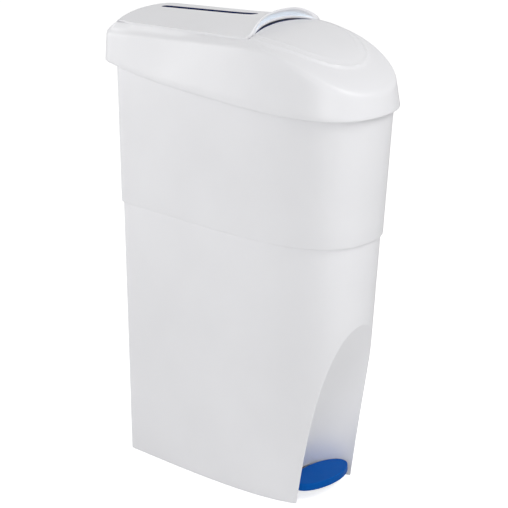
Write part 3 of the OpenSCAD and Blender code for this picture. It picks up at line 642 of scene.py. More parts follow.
low, high = tread_low.z, tread_high.z
tread_rings = [tread_oval(inset, z) for inset, z in [
    (TREAD_WALL + 4, lever_top), (TREAD_WALL + 0.2, lever_top), (TREAD_WALL, lever_top - 0.3),
    (TREAD_WALL, low + 0.3), (TREAD_WALL - 0.3, low), (1.2, low), (0.5, low + 0.4), (0.1, low + 1.2),
    (0, low + 2), (0, high - 1.3), (0.1, high - 0.8), (0.38, high - 0.38), (0.8, high - 0.1),
    (1.3, high), (2.5, high), (6, high), (12, high),
]]
tread = ring_skin("pedal_tread_moulding", tread_rings, blue_plastic, closed=False)
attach(tread, "pedal")
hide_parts("pedal_tread")

screw_z = lever_top - LEVER_T - HEAD_H
tread_places = [((x, tread_y, screw_z), UP) for x in (-TREAD_SCREW_X, TREAD_SCREW_X)]
tread_screws = grown_piece("tread_fixing_screws", screw_tree, tread_places, steel,
                           Length=(LEVER_T + TREAD_SCREW_GRIP) * MM)
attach(tread_screws, "pedal")
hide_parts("tread_screws")

# Pedal lever, pivot and push rod.
# A flat zinc-plated steel lever turns on a pin between the ears of the base plate. Its far end lifts the rod,
# a plain steel bar with black end pieces pushed on, which slides in two black guides on the back wall.
for steel_node in ("pedal_lever", "pivot_pin", "pivot_caps", "push_rod", "hinge_pin"):
    softened(steel_node, steel, 0.3)
for black_node in ("rod_foot", "rod_cap", "rod_guide_lower", "rod_guide_upper"):
    softened(black_node, black_plastic, 0.4)

# Liner bucket.
# A loose blue bucket that takes the waste bag, painted dark for the shade inside the bin. It stands on the
# false floor, clear of the rod behind and of the foot niche in front, and its rim is rounded so that the bag
# can be folded over it.
# A darkened copy of the blue plastic: painted shade for the inner parts, which sit in the shade inside the
# bin.
painted_shade_blue = moulded_plastic("painted_shade_blue", (0.006, 0.016, 0.10), 0.42, shine=0.2)
LINER_T = 2
LINER_GAP = 4
LINER_HEIGHTS = (80, 110, 140, 170, 195, 210, 217, 224, 240, 300, 360, 420)
liner_low, liner_high = corners("liner_bucket")


def liner_half(z, inset):
    """Half outline of the bucket at a height; its front follows the niche wall and then the body's front."""
    gap = WALL + LINER_GAP + inset
    front = max(niche_wall(0, z, 0).y, front_y(z)) + gap
    narrow = 1 - gap / (BACK_W / 2)
    curve = side_curve(liner_high.y - inset, front, FRONT_REACH + FRONT_SWELL * z)
    found = [point for point, _ in back_stations(liner_high.y - inset, 6, 10)]
    found += [side_station(curve, k / 60)[0] for k in range(61)]
    return [Vector((p.x * narrow, p.y)) for p in found]


low, high = liner_low.z, liner_high.z
floor_top = low + LINER_T
liner_rows = [(low, 8), (low, 2), (low + 0.6, 0.6), (low + 2, 0)]
liner_rows += [(z, 0) for z in LINER_HEIGHTS]
liner_rows += [(high - 0.9, 0), (high - 0.3, 0.35), (high, 1), (high - 0.3, 1.65), (high - 1, LINER_T)]
liner_rows += [(z, LINER_T) for z in reversed(LINER_HEIGHTS)]
liner_rows += [(floor_top + 2, LINER_T), (floor_top + 0.6, LINER_T + 0.6)]
liner_rows += [(floor_top, LINER_T + 2), (floor_top, LINER_T + 8)]
liner_rings = [lifted(whole(liner_half(z, inset)), z) for z, inset in liner_rows]
liner = ring_skin("liner_bucket_moulding", liner_rings, painted_shade_blue, closed=False)
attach(liner, "root")
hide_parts("liner_bucket")

# Inner lid.
# A blue plate, painted dark for the shade under the lid, that sits on the sleeve's rim, with a skirt that
# centres it, a square throat that guides the waste into the bucket, and two lugs at the back for the pin that
# the flap turns on.
inner_lid = softened("inner_lid", painted_shade_blue, 0.5)
for vertex in inner_lid.data.vertices:
    vertex.co = dipped(vertex.co / MM) * MM

# Lid.
# The white cover screwed to the inner lid: a drafted skirt over the sleeve, a soft shoulder and a bonnet that
# falls to the nose with a raised tongue. A thin dark blue strip behind its edge paints the shade seen in the
# gap under the flap.
LID_EDGE_Z = 470
LID_EDGE_SLOPE = 0.044
EDGE_LIFT = 8
EDGE_LIFT_FROM = 55
EDGE_CURVE = 2.2
LID_OVER = 9
LID_BACK = 19
SIDE_DRAFT = 10.3
BACK_DRAFT = 4
DRAFT_FROM = 60
DRAFT_RUN = 90
SHOULDER_Z = 533
SHOULDER_SLOPE = 0.062
SHOULDER_BEND = -66
SHOULDER_EASE = 24
SHOULDER_IN = 2.8
SHOULDER_FROM = 6
SHOULDER_UP = 0.6
BACK_RISE = 5
NOSE_Z = 481
NOSE_CURVE = 1.55
NOSE_STEP = 0.25
FLAP_HALF = 64
FLAP_FRONT = 47.5
FLAP_Z = 540
FLAP_TAPER = 0.018
FLAP_FALL = 0.0325
FLAP_GAP = 0.6
FLAP_PROUD = 1.8
CROWN_BACK = 9
CROWN_FRONT = 25
CROWN_CURVE = 2.3
SWEEP_FROM = 60.3
LIP_BOW = 6
BARREL_GAP = 2.8
BARREL_EASE = 20
BARREL_TURN = radians(86)
REAR_BOW = 10
BONNET_RISE = 5.5
TONGUE_RISE = 1.7
TONGUE_BEAD = 0.75
TONGUE_BEAD_R = 0.9
TONGUE_FOOT = 4.5
TONGUE_BEVEL = 10
TONGUE_SHARE = 0.77
TONGUE_CURVE = 0.9
TONGUE_EASE = 0.25
TIP_FROM = radians(62)
TIP_RUN = radians(20)
CORNER_CUT = 9
CORNER_TURN = radians(30)
RIM_T = 1.3
lid_yb = back_y(LID_EDGE_Z) + LID_BACK - LID_OVER
lid_curve = side_curve(lid_yb, front_y(LID_EDGE_Z), FRONT_REACH + FRONT_SWELL * LID_EDGE_Z,
                       SIDE_REACH + LID_BACK - LID_OVER)
lid_tip = front_y(LID_EDGE_Z) - LID_OVER
hinge_low, hinge_high = corners("hinge_pin")
hinge_y = (hinge_low.y + hinge_high.y) / 2
hinge_z = (hinge_low.z + hinge_high.z) / 2


def lid_edge(y):
    """Height of the lid's lower edge: it falls to the front and sweeps up at the back."""
    lift = max(y - EDGE_LIFT_FROM, 0) / (lid_yb + LID_OVER - EDGE_LIFT_FROM)
    return LID_EDGE_Z + LID_EDGE_SLOPE * y + EDGE_LIFT * lift ** EDGE_CURVE


def shoulder(y):
    """Height of the shoulder: it climbs gently from the back, then falls round the nose."""
    if y > SHOULDER_BEND:
        return SHOULDER_Z - SHOULDER_SLOPE * max(y - SHOULDER_BEND - SHOULDER_EASE, 0)
    way = (SHOULDER_BEND - y) / (SHOULDER_BEND - lid_tip)
    return SHOULDER_Z - (SHOULDER_Z - NOSE_Z) * way ** NOSE_CURVE


def flap_half(y):
    return FLAP_HALF - FLAP_TAPER * (y + FLAP_FRONT)


def flap_edge_z(y):
    return FLAP_Z - FLAP_FALL * (y + FLAP_FRONT)


def crown(u):
    return 1 - min(abs(u), 1) ** CROWN_CURVE


def flap_top(x, y):
    """Height of the flap's top: crowned across, and swept up to the lip at the front."""
    sweep = max(SWEEP_FROM - y, 0) / (SWEEP_FROM + FLAP_FRONT - LIP_BOW)
    way = (hinge_y - y) / (hinge_y + FLAP_FRONT - LIP_BOW)
    height = CROWN_BACK + (CROWN_FRONT - CROWN_BACK) * (0.25 * way + 0.4 * sweep ** 4 + 0.35 * sweep ** 14)
    return flap_edge_z(y) + height * crown(x / flap_half(y))


def barrel_radius(u):
    """Radius of the flap's rounded back end about its hinge."""
    return flap_top(u * flap_half(hinge_y), hinge_y) - hinge_z


def bonnet_edge(turn):
    """Rear edge of the bonnet, from the flap's corner at 0 to the middle at a quarter turn."""
    rise = sin(turn) ** 2
    return Vector(((FLAP_HALF + FLAP_GAP) * cos(turn), REAR_BOW * rise - FLAP_FRONT,
                   FLAP_Z - FLAP_PROUD + (BONNET_RISE + FLAP_PROUD) * rise))


def opening_side(y):
    y = min(y, hinge_y)
    gap = mix(BARREL_GAP, FLAP_GAP, min((hinge_y - y) / BARREL_EASE, 1))
    return Vector((flap_half(y) + gap, y, flap_edge_z(y) - FLAP_PROUD))


def opening_back(u):
    radius = barrel_radius(u) + BARREL_GAP
    return Vector((u * (flap_half(hinge_y) + BARREL_GAP), hinge_y + radius * sin(BARREL_TURN),
                   hinge_z + radius * cos(BARREL_TURN)))


bonnet_share = crossing(lambda t: side_station(lid_curve, t)[0].y <= -FLAP_FRONT)


def lid_stations():
    """Stations round half of the lid: point, normal, bonnet turn, opening's edge, rise of the shoulder."""
    found = []
    corner_first = opening_side(CORNER_CUT - FLAP_FRONT)
    corner_last = bonnet_edge(CORNER_TURN)
    corner = bonnet_edge(0)
    flat, round_, side = 8, 12, 130
    u_flat = (BACK_W / 2 - CORNER_R) / lid_curve[0].x
    for k, (point, normal) in enumerate(back_stations(lid_yb, flat, round_)):
        u = point.x / lid_curve[0].x
        if k < flat:
            edge = opening_back(u)
        else:
            edge = arc3(opening_back(u_flat), opening_back(1), opening_side(hinge_y), (k - flat) / round_)
        found.append((point, normal, 0, edge, BACK_RISE * (1 - u ** 4)))
    for k in range(side + 1):
        t = k / side
        point, normal = side_station(lid_curve, t)
        turn = pi / 2 * max(0, (t - bonnet_share) / (1 - bonnet_share))
        if 0 < turn < CORNER_TURN:
            edge = arc3(corner_first, corner, corner_last, 0.5 + 0.5 * turn / CORNER_TURN)
        elif turn > 0:
            edge = bonnet_edge(turn)
        elif point.y < CORNER_CUT - FLAP_FRONT:
            edge = arc3(corner_first, corner, corner_last, 0.5 * (1 - (point.y + FLAP_FRONT) / CORNER_CUT))
        else:
            edge = opening_side(point.y)
        found.append((point, normal, turn, edge, 0))
    return found


def skirt_point(station, climb, inset=0, up=0):
    """Point of the skirt at a share of the climb to just below the shoulder, then in and up from there."""
    point, normal, _, _, raised = station
    foot = lid_edge(point.y + LID_OVER * normal.y)
    z = mix(foot, shoulder(point.y) + raised - SHOULDER_FROM, climb) + up
    draft = mix(SIDE_DRAFT, BACK_DRAFT, ease((point.y - DRAFT_FROM) / DRAFT_RUN))
    off = LID_OVER - draft * (z - foot) / (SHOULDER_Z - LID_EDGE_Z) - inset
    return Vector((point.x + off * normal.x, point.y + off * normal.y, z))


def top_start(station):
    """Where the top begins, just inside the shoulder; the step in fades to the nose."""
    step_in = SHOULDER_IN * mix(1, NOSE_STEP, ease(station[2] / (pi / 2)))
    return skirt_point(station, 1, step_in, SHOULDER_FROM + SHOULDER_UP)


def top_point(station, share):
    """Point of the lid's top, at a share of the way from the opening to the shoulder."""
    start, edge = top_start(station), station[3]
    front = min(station[2] / (pi / 4), 1)
    rise = (1 - share ** mix(0.95, 1.85, front)) ** mix(1, 0.9, front)
    return Vector((mix(edge.x, start.x, share), mix(edge.y, start.y, share), mix(start.z, edge.z, rise)))


def shoulder_end(station):
    return 1 - min(0.45, 4 / (station[3] - top_start(station)).length)


def shoulder_point(station, q):
    """Point of the soft bend that leads from the skirt to the top."""
    first, share = skirt_point(station, 1), shoulder_end(station)
    last = top_point(station, share)
    reach = 0.42 * (last - first).length
    second = first + reach * (skirt_point(station, 1, 0, 1) - first).normalized()
    third = last - reach * (top_point(station, share - 0.01) - last).normalized()
    s = 1 - q
    return s ** 3 * first + 3 * s * s * q * second + 3 * s * q * q * third + q ** 3 * last


def tongue_line(turn):
    """Crest of the tongue's edge as a share of the way from the opening to the shoulder."""
    return TONGUE_SHARE * max(sin(turn), 0) ** TONGUE_CURVE


def tongue_reach(station):
    """Distance square to the tongue's edge that a whole share of the way down the bonnet makes."""
    return (station[3] - top_start(station)).length * max(station[2] / (pi / 2), 0.25)


def tongue_lift(station, share):
    """Height of the tongue over the bonnet: a foot, a crest and a second line that fades at the tip."""
    turn = station[2]
    inside = (tongue_line(turn) - share) * tongue_reach(station)
    tip = ease((turn - TIP_FROM) / TIP_RUN)
    crest = TONGUE_BEAD * exp(-(inside / TONGUE_BEAD_R) ** 2)
    second = TONGUE_BEAD * (1 - tip) * exp(-((inside - TONGUE_BEVEL) / TONGUE_BEAD_R) ** 2)
    rise = 0.7 * ease(inside / TONGUE_FOOT + 1) + 0.3 * ease(inside / TONGUE_BEVEL)
    return ease(turn / TONGUE_EASE) * (TONGUE_RISE * rise + crest + second)


def top_shares(station):
    """Shares of the rows over the top, close together at the tongue's edge."""
    reach = tongue_reach(station)
    first, last = shoulder_end(station), min(0.6 / (station[3] - top_start(station)).length, 0.2)
    line = tongue_line(station[2])
    high = min(line + (TONGUE_FOOT + 1) / reach, mix(first, last, 0.15))
    low = max(min(line - (TONGUE_BEVEL + 3) / reach, mix(first, last, 0.85)), mix(high, last, 0.9))
    shares = [mix(first, high, k / 14) for k in range(1, 15)]
    shares += [mix(high, low, k / 56) for k in range(1, 57)]
    return shares + [mix(low, last, k / 12) for k in range(1, 13)]


SKIRT_EDGE_R = 0.9
stations = lid_stations()
outer_rows = [[skirt_point(s, 0, 0, SKIRT_EDGE_R) for s in stations]]
outer_rows += [[skirt_point(s, climb) for s in stations] for climb in (0.2, 0.4, 0.6, 0.8, 1)]
outer_rows += [[shoulder_point(s, k / 12) for s in stations] for k in range(1, 13)]
top_columns = []
for station in stations:
    top_columns.append([top_point(station, share) + Vector((0, 0, tongue_lift(station, share)))
                        for share in top_shares(station)])
outer_rows += [list(row) for row in zip(*top_columns)]


def inner_rows(rows, thick):
    """The same rows moved inwards along their normals, thinner over the last rows, at the opening."""
    rings = [whole(row) for row in rows]
    count = len(rings[0])
    moved = []
    for r, ring in enumerate(rings):
        below, above = rings[max(r - 1, 0)], rings[min(r + 1, len(rings) - 1)]
        depth = mix(thick, RIM_T, ease((r - len(rings) + 30) / 24))
        line = []
        for i, point in enumerate(ring):
            along = ring[(i + 1) % count] - ring[i - 1]
            normal = (above[i] - below[i]).cross(along).normalized()
            line.append(point - depth * normal)
        moved.append(line)
    return moved


lid_inside = inner_rows(outer_rows, WALL)
lid_rings = [whole(row) for row in outer_rows]
opening_edge = []
for turn in (30, 60, 90, 130):
    a = radians(turn)
    ring = []
    for i, (top, under) in enumerate(zip(lid_rings[-1], lid_inside[-1])):
        towards = (top - lid_rings[-2][i]).normalized()
        ring.append(mix(top, under, (1 - cos(a)) / 2) + RIM_T / 2 * sin(a) * towards)
    opening_edge.append(ring)
skirt_edge = []
for turn in (130, 90, 60, 30):
    a = radians(turn)
    skirt_edge.append([mix(out, under, (1 - cos(a)) / 2) - Vector((0, 0, SKIRT_EDGE_R * sin(a)))
                       for out, under in zip(lid_rings[0], lid_inside[0])])
lid = ring_skin("lid_cover", skirt_edge + lid_rings + opening_edge + lid_inside[::-1], white_plastic)
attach(lid, "lid")
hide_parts("lid")

BOSS_R = SCREW_R + 2
BOSS_PLAY = 0.5
lid_screw_places = []
screw_points = [v.co / MM for v in frame["nodes"]["lid_screws"].data.vertices if v.co.x > 0]
middle_y = (min(p.y for p in screw_points) + max(p.y for p in screw_points)) / 2
for group in ([p for p in screw_points if p.y > middle_y], [p for p in screw_points if p.y < middle_y]):
    x = (min(p.x for p in group) + max(p.x for p in group)) / 2
    y = (min(p.y for p in group) + max(p.y for p in group)) / 2
    place = Vector((x, y))
    over = [p.z for row in outer_rows[7:] for p in row if (p.to_2d() - place).length < BOSS_R + BOSS_PLAY]
    boss_top = min(over) - WALL - BOSS_PLAY
    for side in (-1, 1):
        lid_screw_places.append(((side * x, y, RIM_Z - HEAD_H), UP))
        boss = tube("lid_boss", (side * x, y), RIM_Z + PLATE_T, boss_top, BOSS_R, SCREW_R, white_plastic)
        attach(boss, "lid")
lid_screws = grown_piece("lid_fixing_screws", screw_tree, lid_screw_places, steel,
                         Length=(PLATE_T + SCREW_GRIP) * MM)
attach(lid_screws, "lid")
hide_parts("lid_screws")

# A thin dark blue strip just behind the bonnet's rear edge: a dark sheet that paints the shade seen in the
# gap under the flap's lip.
SHADE_STRIP_T = 0.8
SHADE_STRIP_NEAR = 0.6
SHADE_STRIP_FAR = SHADE_STRIP_NEAR + SHADE_STRIP_T
SHADE_STRIP_UP = 3.2
SHADE_STRIP_DOWN = 8
SHADE_STRIP_SINK = 1
shade_strip_rows = []
for out, up in ((SHADE_STRIP_NEAR, SHADE_STRIP_UP), (SHADE_STRIP_FAR, SHADE_STRIP_UP), (SHADE_STRIP_FAR, -SHADE_STRIP_DOWN), (SHADE_STRIP_NEAR, -SHADE_STRIP_DOWN)):
    line = []
    for degrees in range(24, 157, 3):
        edge = bonnet_edge(radians(degrees))
        fade = ease((90 - abs(degrees - 90) - 20) / 30)
        line.append(Vector((edge.x, edge.y + out, edge.z - SHADE_STRIP_SINK + max(up, 0) * fade + min(up, 0))))
    shade_strip_rows.append(line)
shade_strip_rings = [list(ring) for ring in zip(*shade_strip_rows)]
shade_strip = ring_skin("gap_shade_strip", shade_strip_rings, painted_shade_blue, closed=False)
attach(shade_strip, "lid")

# Flap.
# The white crowned cover of the throat, hinged at the back and lifted by the pedal. A slot along its middle
# gives out the bags, its rounded edge runs on into the rim of a finger lip, and the lip's face is hollowed.
RIM_BACK = 1.6
FLAP_T = 2.3
EDGE_PLAY = 0.1
SIDE_DROP = 2.7
SIDE_DRAW = 0.3
SIDE_OUT = 2.0
SIDE_T = 0.7
SIDE_BEAD = 0.65
SIDE_BEND = 1.6
OUT_RUN_BACK = 30
OUT_RUN_FRONT = 12
LIP_HOLLOW = 5.5
LIP_RIM = 4.2
LIP_SILL = 2.2
LIP_BEAD = 0.3
LIP_BEND = 3.2
LIP_FAN = 0.25
LIP_FOOT_SHARE = 0.98
LIP_FOOT_SINK = 3
LIP_FOOT_CROWN = 11.5
HOLLOW_RUN = 2
CORNER_BEND = 2.6
CORNER_SHARE = 0.3
BARREL_END = radians(100)
BARREL_NARROW = 0.06
BARREL_BEND = 1.1
HEEL = 8
HEM_R = 0.3
HEM_SHARE = 0.97
LIP_STEPS = 40
CORNER_STEPS = 14
SIDE_STEPS = 70
HEEL_STEPS = 10
BARREL_STEPS = 30
TOP_STEPS = 32
WALL_STEPS = 26
UNDER_STEPS = 14
FIRST_WALL_ROW = 3 + TOP_STEPS + 1 + 5
SLOT_LEN = 145
SLOT_HALF = 5.5
SLOT_BACK = 13.2
SLOT_R = 0.4
slot_end = hinge_y - SLOT_BACK - SLOT_HALF
slot_start = hinge_y - SLOT_BACK - SLOT_LEN + SLOT_HALF
rim_corner = RIM_BACK - FLAP_FRONT


def on_top(x, y):
    return Vector((x, y, flap_top(x, y)))


def lip_rim(u):
    y = rim_corner + LIP_BOW * (1 - u * u)
    return on_top(u * (flap_half(y) - EDGE_PLAY), y)


def lip_foot(u):
    y = rim_corner + mix(1, -0.8, ease((u - 0.5) / 0.4)) + REAR_BOW * (1 - u * u)
    return Vector((lip_rim(u).x * LIP_FOOT_SHARE, y, FLAP_Z - LIP_FOOT_SINK + LIP_FOOT_CROWN * crown(u)))


def side_edge(y):
    """Edge of the deck, a little over the lid's opening but for the part beside the hinge."""
    out = SIDE_OUT * ease((hinge_y - y) / OUT_RUN_BACK) * ease((y + FLAP_FRONT) / OUT_RUN_FRONT)
    return Vector((flap_half(y) - EDGE_PLAY + out, y, flap_edge_z(y)))


def side_foot(y):
    return side_edge(y) - Vector((SIDE_DRAW, 0, SIDE_DROP))


def flat_wall(edge, foot, way, hollow, thick=FLAP_T):
    """Wall from an edge down to its foot, hollowed between a rim above and a rim below."""
    fall = foot - edge
    depth = LIP_HOLLOW * hollow * ease((fall.length - LIP_RIM - LIP_SILL - HOLLOW_RUN) / 6)

    def wall(q, inset=0):
        down = q * fall.length
        below_rim = ease((down - LIP_RIM) / HOLLOW_RUN)
        recess = depth * below_rim * ease((fall.length - LIP_SILL - down) / HOLLOW_RUN)
        return edge + fall * q - (recess + min(inset, thick)) * way

    return wall, fall.length


def barrel_wall(u):
    """Wall of the back end, round the hinge."""
    radius = barrel_radius(u)
    x = u * (flap_half(hinge_y) - EDGE_PLAY)

    def wall(q, inset=0):
        a = BARREL_END * q
        out = radius - inset
        narrow = 1 - BARREL_NARROW * (1 - cos(a))
        return Vector((x * narrow, hinge_y + out * sin(a), hinge_z + out * cos(a)))

    return wall, radius * BARREL_END


def blended_wall(one, other, share):
    """Wall at a share of the way from one wall to another."""

    def wall(q, inset=0):
        return mix(one[0](q, inset), other[0](q, inset), share)

    return wall, mix(one[1], other[1], share)


def flap_stations():
    """Stations round half of the flap, from the middle of the lip to the middle of the back end: way round
    the slot, place along it, edge, wall and its length, outward way, bend and bead of the edge."""
    found = []
    across = Vector((1, 0, 0))
    diagonal = Vector((0.7, 0.7, 0))
    side_start, side_stop = rim_corner + CORNER_CUT, hinge_y - HEEL
    u_cut = 1 - CORNER_CUT / FLAP_HALF
    for k in range(LIP_STEPS):
        u = u_cut * k / LIP_STEPS
        a = pi / 2 * (1 - (1 - CORNER_SHARE) * k / LIP_STEPS)
        around = Vector((cos(a), -sin(a)))
        way = Vector((LIP_FAN * u, -1, 0)).normalized()
        wall = flat_wall(lip_rim(u), lip_foot(u), way, 1 - u ** 4)
        bend = mix(LIP_BEND, CORNER_BEND, u ** 3)
        found.append((around, slot_start, lip_rim(u), wall, way, bend, LIP_BEAD))
    for k in range(CORNER_STEPS):
        s = k / CORNER_STEPS
        a = pi / 2 * CORNER_SHARE * (1 - s)
        around = Vector((cos(a), -sin(a)))
        edge = arc3(lip_rim(u_cut), side_edge(rim_corner), side_edge(side_start), s)
        edge = on_top(edge.x, edge.y)
        foot = arc3(lip_foot(u_cut), side_foot(rim_corner), side_foot(side_start), s)
        way = mix(Vector((LIP_FAN * u_cut, -1, 0)), across, ease(s)).normalized()
        wall = flat_wall(edge, foot, way, (1 - u_cut ** 4) * (1 - s), mix(FLAP_T, SIDE_T, s))
        bend, bead = mix(CORNER_BEND, SIDE_BEND, s), mix(LIP_BEAD, SIDE_BEAD, s)
        found.append((around, slot_start, edge, wall, way, bend, bead))
    for k in range(SIDE_STEPS):
        y = mix(side_start, side_stop, k / SIDE_STEPS)
        slot_y = mix(slot_start, slot_end, k / SIDE_STEPS)
        wall = flat_wall(side_edge(y), side_foot(y), across, 0, SIDE_T)
        found.append((across.to_2d(), slot_y, side_edge(y), wall, across, SIDE_BEND, SIDE_BEAD))
    for k in range(HEEL_STEPS):
        s = k / HEEL_STEPS
        y = mix(side_stop, hinge_y, s)
        a = pi / 2 * CORNER_SHARE * s
        around = Vector((cos(a), sin(a)))
        way = mix(across, diagonal, s).normalized()
        side = flat_wall(side_edge(y), side_foot(y), across, 0, SIDE_T)
        wall = blended_wall(side, barrel_wall(1), ease(s))
        bend, bead = mix(SIDE_BEND, BARREL_BEND, s), SIDE_BEAD * (1 - s)
        found.append((around, slot_end, side_edge(y), wall, way, bend, bead))
    for k in range(BARREL_STEPS + 1):
        a = pi / 2 * (CORNER_SHARE + (1 - CORNER_SHARE) * k / BARREL_STEPS)
        around = Vector((cos(a), sin(a)))
        wall = barrel_wall(1 - k / BARREL_STEPS)
        way = mix(diagonal, Vector((0, 1, 0)), ease(k / 5)).normalized()
        found.append((around, slot_end, wall[0](0), wall, way, BARREL_BEND, 0))
    return found


def flap_section(station):
    """Closed section of the flap from its slot, over the top and round the edge, back under to the slot."""
    around, slot_y, edge, (wall, length), way, bend, bead = station
    slot = Vector((SLOT_HALF * around.x, slot_y + SLOT_HALF * around.y))
    found = []
    for turn in (0, 30, 60):
        a = radians(turn)
        place = slot + SLOT_R * (1 - cos(a)) * around
        found.append(on_top(place.x, place.y) - Vector((0, 0, SLOT_R * (1 - sin(a)))))
    first = slot + SLOT_R * around
    last = edge.to_2d() - bend * way.to_2d()
    for k in range(TOP_STEPS + 1):
        place = mix(first, last, 0.5 * (k / TOP_STEPS + ease(k / TOP_STEPS)))
        found.append(on_top(place.x, place.y))
    start = min(bend / length, 0.3)
    proud = edge + Vector((0, 0, bead)) + EDGE_PLAY * way * (bead > 0)
    found += [arc3(found[-1], proud, wall(start), s) for s in (0.17, 0.33, 0.5, 0.67, 0.83)]
    found += [wall(mix(start, HEM_SHARE, k / WALL_STEPS)) for k in range(WALL_STEPS + 1)]
    found += [wall(1, inset) for inset in (HEM_R, FLAP_T / 2, FLAP_T - HEM_R)]
    stop = min(0.35, FLAP_T / length)
    found += [wall(mix(HEM_SHARE, stop, k / 8), FLAP_T) for k in range(9)]
    inset = edge.to_2d() - (FLAP_T + 1.2) * way.to_2d()
    for k in range(UNDER_STEPS + 1):
        place = mix(inset, slot + HEM_R * around, k / UNDER_STEPS)
        found.append(on_top(place.x, place.y) - Vector((0, 0, FLAP_T)))
    found.append(on_top(slot.x, slot.y) - Vector((0, 0, FLAP_T - HEM_R)))
    return found


# Pale blue white for the hollowed face of the lip: a painted reflection of the blue inside, on white plastic.
lip_painted_reflection = moulded_plastic("lip_painted_blue_reflection", (0.82, 0.88, 0.95), 0.4)
edge_stations = flap_stations()
sections = [flap_section(station) for station in edge_stations]
flap_rows = [whole([section[r] for section in sections]) for r in range(len(sections[0]))]
flap = ring_skin("flap_cover", flap_rows, white_plastic)
flap.data.materials.append(lip_painted_reflection)
count = len(flap_rows[0])
# Faces of the lip's hollow, between its rim and its sill, get the painted blue reflection.
for polygon in flap.data.polygons:
    row, column = divmod(polygon.index, count)
    place = min(column, count - 1 - column)
    if place < LIP_STEPS and FIRST_WALL_ROW <= row < FIRST_WALL_ROW + WALL_STEPS:
        fall = edge_stations[place][3][1]
        down = fall * (row + 1 - FIRST_WALL_ROW) / WALL_STEPS
        polygon.material_index = int(LIP_RIM + 1 < down < fall - LIP_SILL - 1)
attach(flap, "flap")
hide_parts("flap")

KNUCKLE_HALF = 37
KNUCKLE_R = 5
KNUCKLE_BEVEL = 0.4
PIN_BORE_R = 2.6
RIB_T = 3
RIB_PLACES = (-33, -14, 14, 33)
RIB_SINK = 1.2
CRANK_LEN = 24
CRANK_ROOT = 4
CRANK_NECK = CRANK_LEN - 3.46
CRANK_DROP = radians(30)
CRANK_HALF = 5
CRANK_T = 4
CRANK_TIP_R = 4


def across_piece(name, profile, x, half):
    """Prism across the bin, from a profile in y and z."""
    rows = [[Vector((x + side * half, p.x, p.y)) for p in profile] for side in (-1, 1)]
    piece = ring_skin(name, rows, white_plastic, closed=False)
    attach(piece, "flap")


def about_hinge(radius, turn):
    return Vector((hinge_y + radius * cos(turn), hinge_z + radius * sin(turn)))


tube_turns = [2 * pi * k / 40 for k in range(40)]
bevel_x, bevel_r = KNUCKLE_HALF - KNUCKLE_BEVEL, KNUCKLE_R - KNUCKLE_BEVEL
tube_ends = [(-KNUCKLE_HALF, bevel_r), (-bevel_x, KNUCKLE_R), (bevel_x, KNUCKLE_R), (KNUCKLE_HALF, bevel_r)]
tube_ends += [(KNUCKLE_HALF, PIN_BORE_R), (-KNUCKLE_HALF, PIN_BORE_R)]
tube_rows = [[Vector((x, *about_hinge(radius, turn))) for turn in tube_turns] for x, radius in tube_ends]
knuckle = ring_skin("flap_knuckle", tube_rows, white_plastic)
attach(knuckle, "flap")
for x in RIB_PLACES:
    under = flap_top(x, hinge_y) - RIB_SINK
    rib = [about_hinge(-2 * KNUCKLE_R, 0), about_hinge(-3, 0), about_hinge(3, pi / 2), about_hinge(3.2, 0.3),
           Vector((hinge_y + 1, under)), Vector((hinge_y - 2 * KNUCKLE_R, under))]
    across_piece("flap_rib", rib, x, RIB_T / 2)
arm_half = CRANK_T / 2
tip_turns = [radians(degrees) for degrees in range(30, 331, 15)]
arm = [(CRANK_ROOT, arm_half), (CRANK_NECK, arm_half)]
arm += [(CRANK_LEN - CRANK_TIP_R * cos(a), CRANK_TIP_R * sin(a)) for a in tip_turns]
arm += [(CRANK_NECK, -arm_half), (CRANK_ROOT, -arm_half)]
crank = [Vector((hinge_y - along * cos(CRANK_DROP) + up * sin(CRANK_DROP),
                 hinge_z - along * sin(CRANK_DROP) + up * cos(CRANK_DROP))) for along, up in arm]
across_piece("flap_crank", crank, 0, CRANK_HALF)

# Bag tray.
# A shallow blue trough under the flap's slot that holds a pack of folded bags, painted dark for the shade
# under the flap. It moves with the flap, and a thin dark blue collar on it lines the slot and paints the
# shade inside it.
softened("bag_tray", painted_shade_blue, 0.4)
# The collar is a dark blue lining of the slot's walls that paints the shade inside the slot.
SHADE_COLLAR_T = 0.9
SHADE_COLLAR_H = 3.6


def slot_ring(inset, down):
    """Round-ended outline just inside the slot, at a depth below the flap's top."""
    radius = SLOT_HALF - EDGE_PLAY - inset
    turns = [pi * k / 12 for k in range(13)]
    places = [(radius * cos(a), slot_end + radius * sin(a)) for a in turns]
    places += [(-radius, mix(slot_end, slot_start, k / 20)) for k in range(1, 20)]
    places += [(-radius * cos(a), slot_start - radius * sin(a)) for a in turns]
    places += [(radius, mix(slot_start, slot_end, k / 20)) for k in range(1, 20)]
    return [on_top(x, y) - Vector((0, 0, down)) for x, y in places]


shade_collar_rows = [(0, SHADE_COLLAR_H), (0, 0.4), (0.2, 0.25)]
shade_collar_rows += [(SHADE_COLLAR_T - 0.2, 0.25), (SHADE_COLLAR_T, 0.45), (SHADE_COLLAR_T, SHADE_COLLAR_H)]
shade_collar = ring_skin("bag_tray_shade_collar", [slot_ring(*row) for row in shade_collar_rows], painted_shade_blue)
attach(shade_collar, "flap")

# Studio: floor, lights and camera.
# A pale floor and a white surround, soft light from behind on the left, from the camera's side and from above
# in front, and a long lens that looks a little down on the near side.
TARGET = Vector((0, 1.67, 268.14)) * MM
CAMERA_AZIMUTH = radians(-49.6)
CAMERA_HEIGHT = radians(18.16)
CAMERA_DISTANCE = 2213.9 * MM
IMAGE_W = 508
FOCAL_PIXELS = 1900
LAMP_DISTANCE = 2.3
LAMP_SIZE = 1.4
SURROUND_LIGHT = 0.4
FLOOR_SIZE = 30
FLOOR_GLOW = 0.72


def from_target(azimuth, height, distance):
    way = Vector((sin(azimuth) * cos(height), -cos(azimuth) * cos(height), sin(height)))
    return TARGET + distance * way


def aimed(thing, place):
    thing.location = place
    thing.rotation_euler = (TARGET - place).to_track_quat("-Z", "Y").to_euler()
    bpy.context.scene.collection.objects.link(thing)


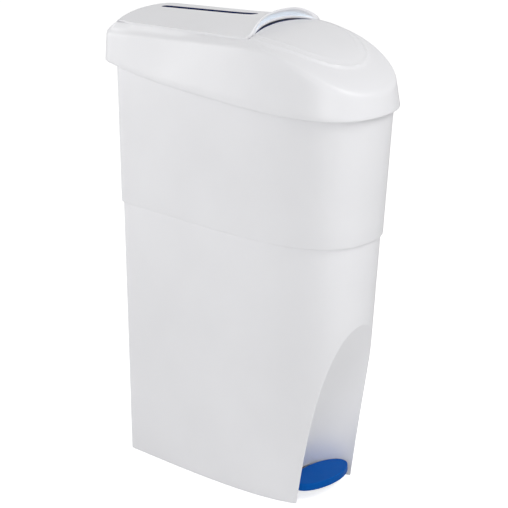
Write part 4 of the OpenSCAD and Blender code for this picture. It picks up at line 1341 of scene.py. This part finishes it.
lens = bpy.data.cameras.new("camera")
lens.sensor_width = 36
lens.lens = FOCAL_PIXELS / IMAGE_W * lens.sensor_width
lens.clip_end = 50
camera = bpy.data.objects.new("camera", lens)
aimed(camera, from_target(CAMERA_AZIMUTH, CAMERA_HEIGHT, CAMERA_DISTANCE))
bpy.context.scene.camera = camera


def soft_light(name, azimuth, height, power):
    lamp = bpy.data.lights.new(name, "AREA")
    lamp.shape = "DISK"
    lamp.size = LAMP_SIZE
    lamp.energy = power
    aimed(bpy.data.objects.new(name, lamp), from_target(radians(azimuth), radians(height), LAMP_DISTANCE))


soft_light("back_left_light", -150, 12, 20)
soft_light("camera_light", -50, 12, 15)
soft_light("front_light", 15, 45, 21)

world = bpy.data.worlds.new("surround")
world.use_nodes = True
bpy.context.scene.world = world
tree = world.node_tree
light_path = add_node(tree, "ShaderNodeLightPath")
seen = light_path.outputs["Is Camera Ray"]
for ray in ("Is Glossy Ray", "Is Transmission Ray"):
    seen = worked_out(tree, "MAXIMUM", seen, light_path.outputs[ray])
strength = add_node(tree, "ShaderNodeMapRange", Value=seen, To_Min=SURROUND_LIGHT, To_Max=1.0)
tree.links.new(strength.outputs["Result"], tree.nodes["Background"].inputs["Strength"])
tree.nodes["Background"].inputs["Color"].default_value = (1, 1, 1, 1)

floor_mesh = bpy.data.meshes.new("floor")
half = FLOOR_SIZE / 2
floor_points = [(-half, -half, 0), (half, -half, 0), (half, half, 0), (-half, half, 0)]
floor_mesh.from_pydata(floor_points, [], [(0, 1, 2, 3)])
floor_paint = bpy.data.materials.new("floor_paint")
floor_paint.use_nodes = True
tree = floor_paint.node_tree
shader = tree.nodes["Principled BSDF"]
shader.inputs["Base Color"].default_value = (0.8, 0.8, 0.8, 1)
shader.inputs["Roughness"].default_value = 0.9
shader.inputs["Specular IOR Level"].default_value = 0.0
light_path = add_node(tree, "ShaderNodeLightPath")
glow = add_node(tree, "ShaderNodeMapRange", Value=light_path.outputs["Is Camera Ray"], To_Min=0.0,
                To_Max=FLOOR_GLOW)
shader.inputs["Emission Color"].default_value = (1, 1, 1, 1)
tree.links.new(glow.outputs["Result"], shader.inputs["Emission Strength"])
floor = new_piece("floor", floor_mesh, floor_paint)
bpy.context.scene.view_settings.view_transform = "Standard"
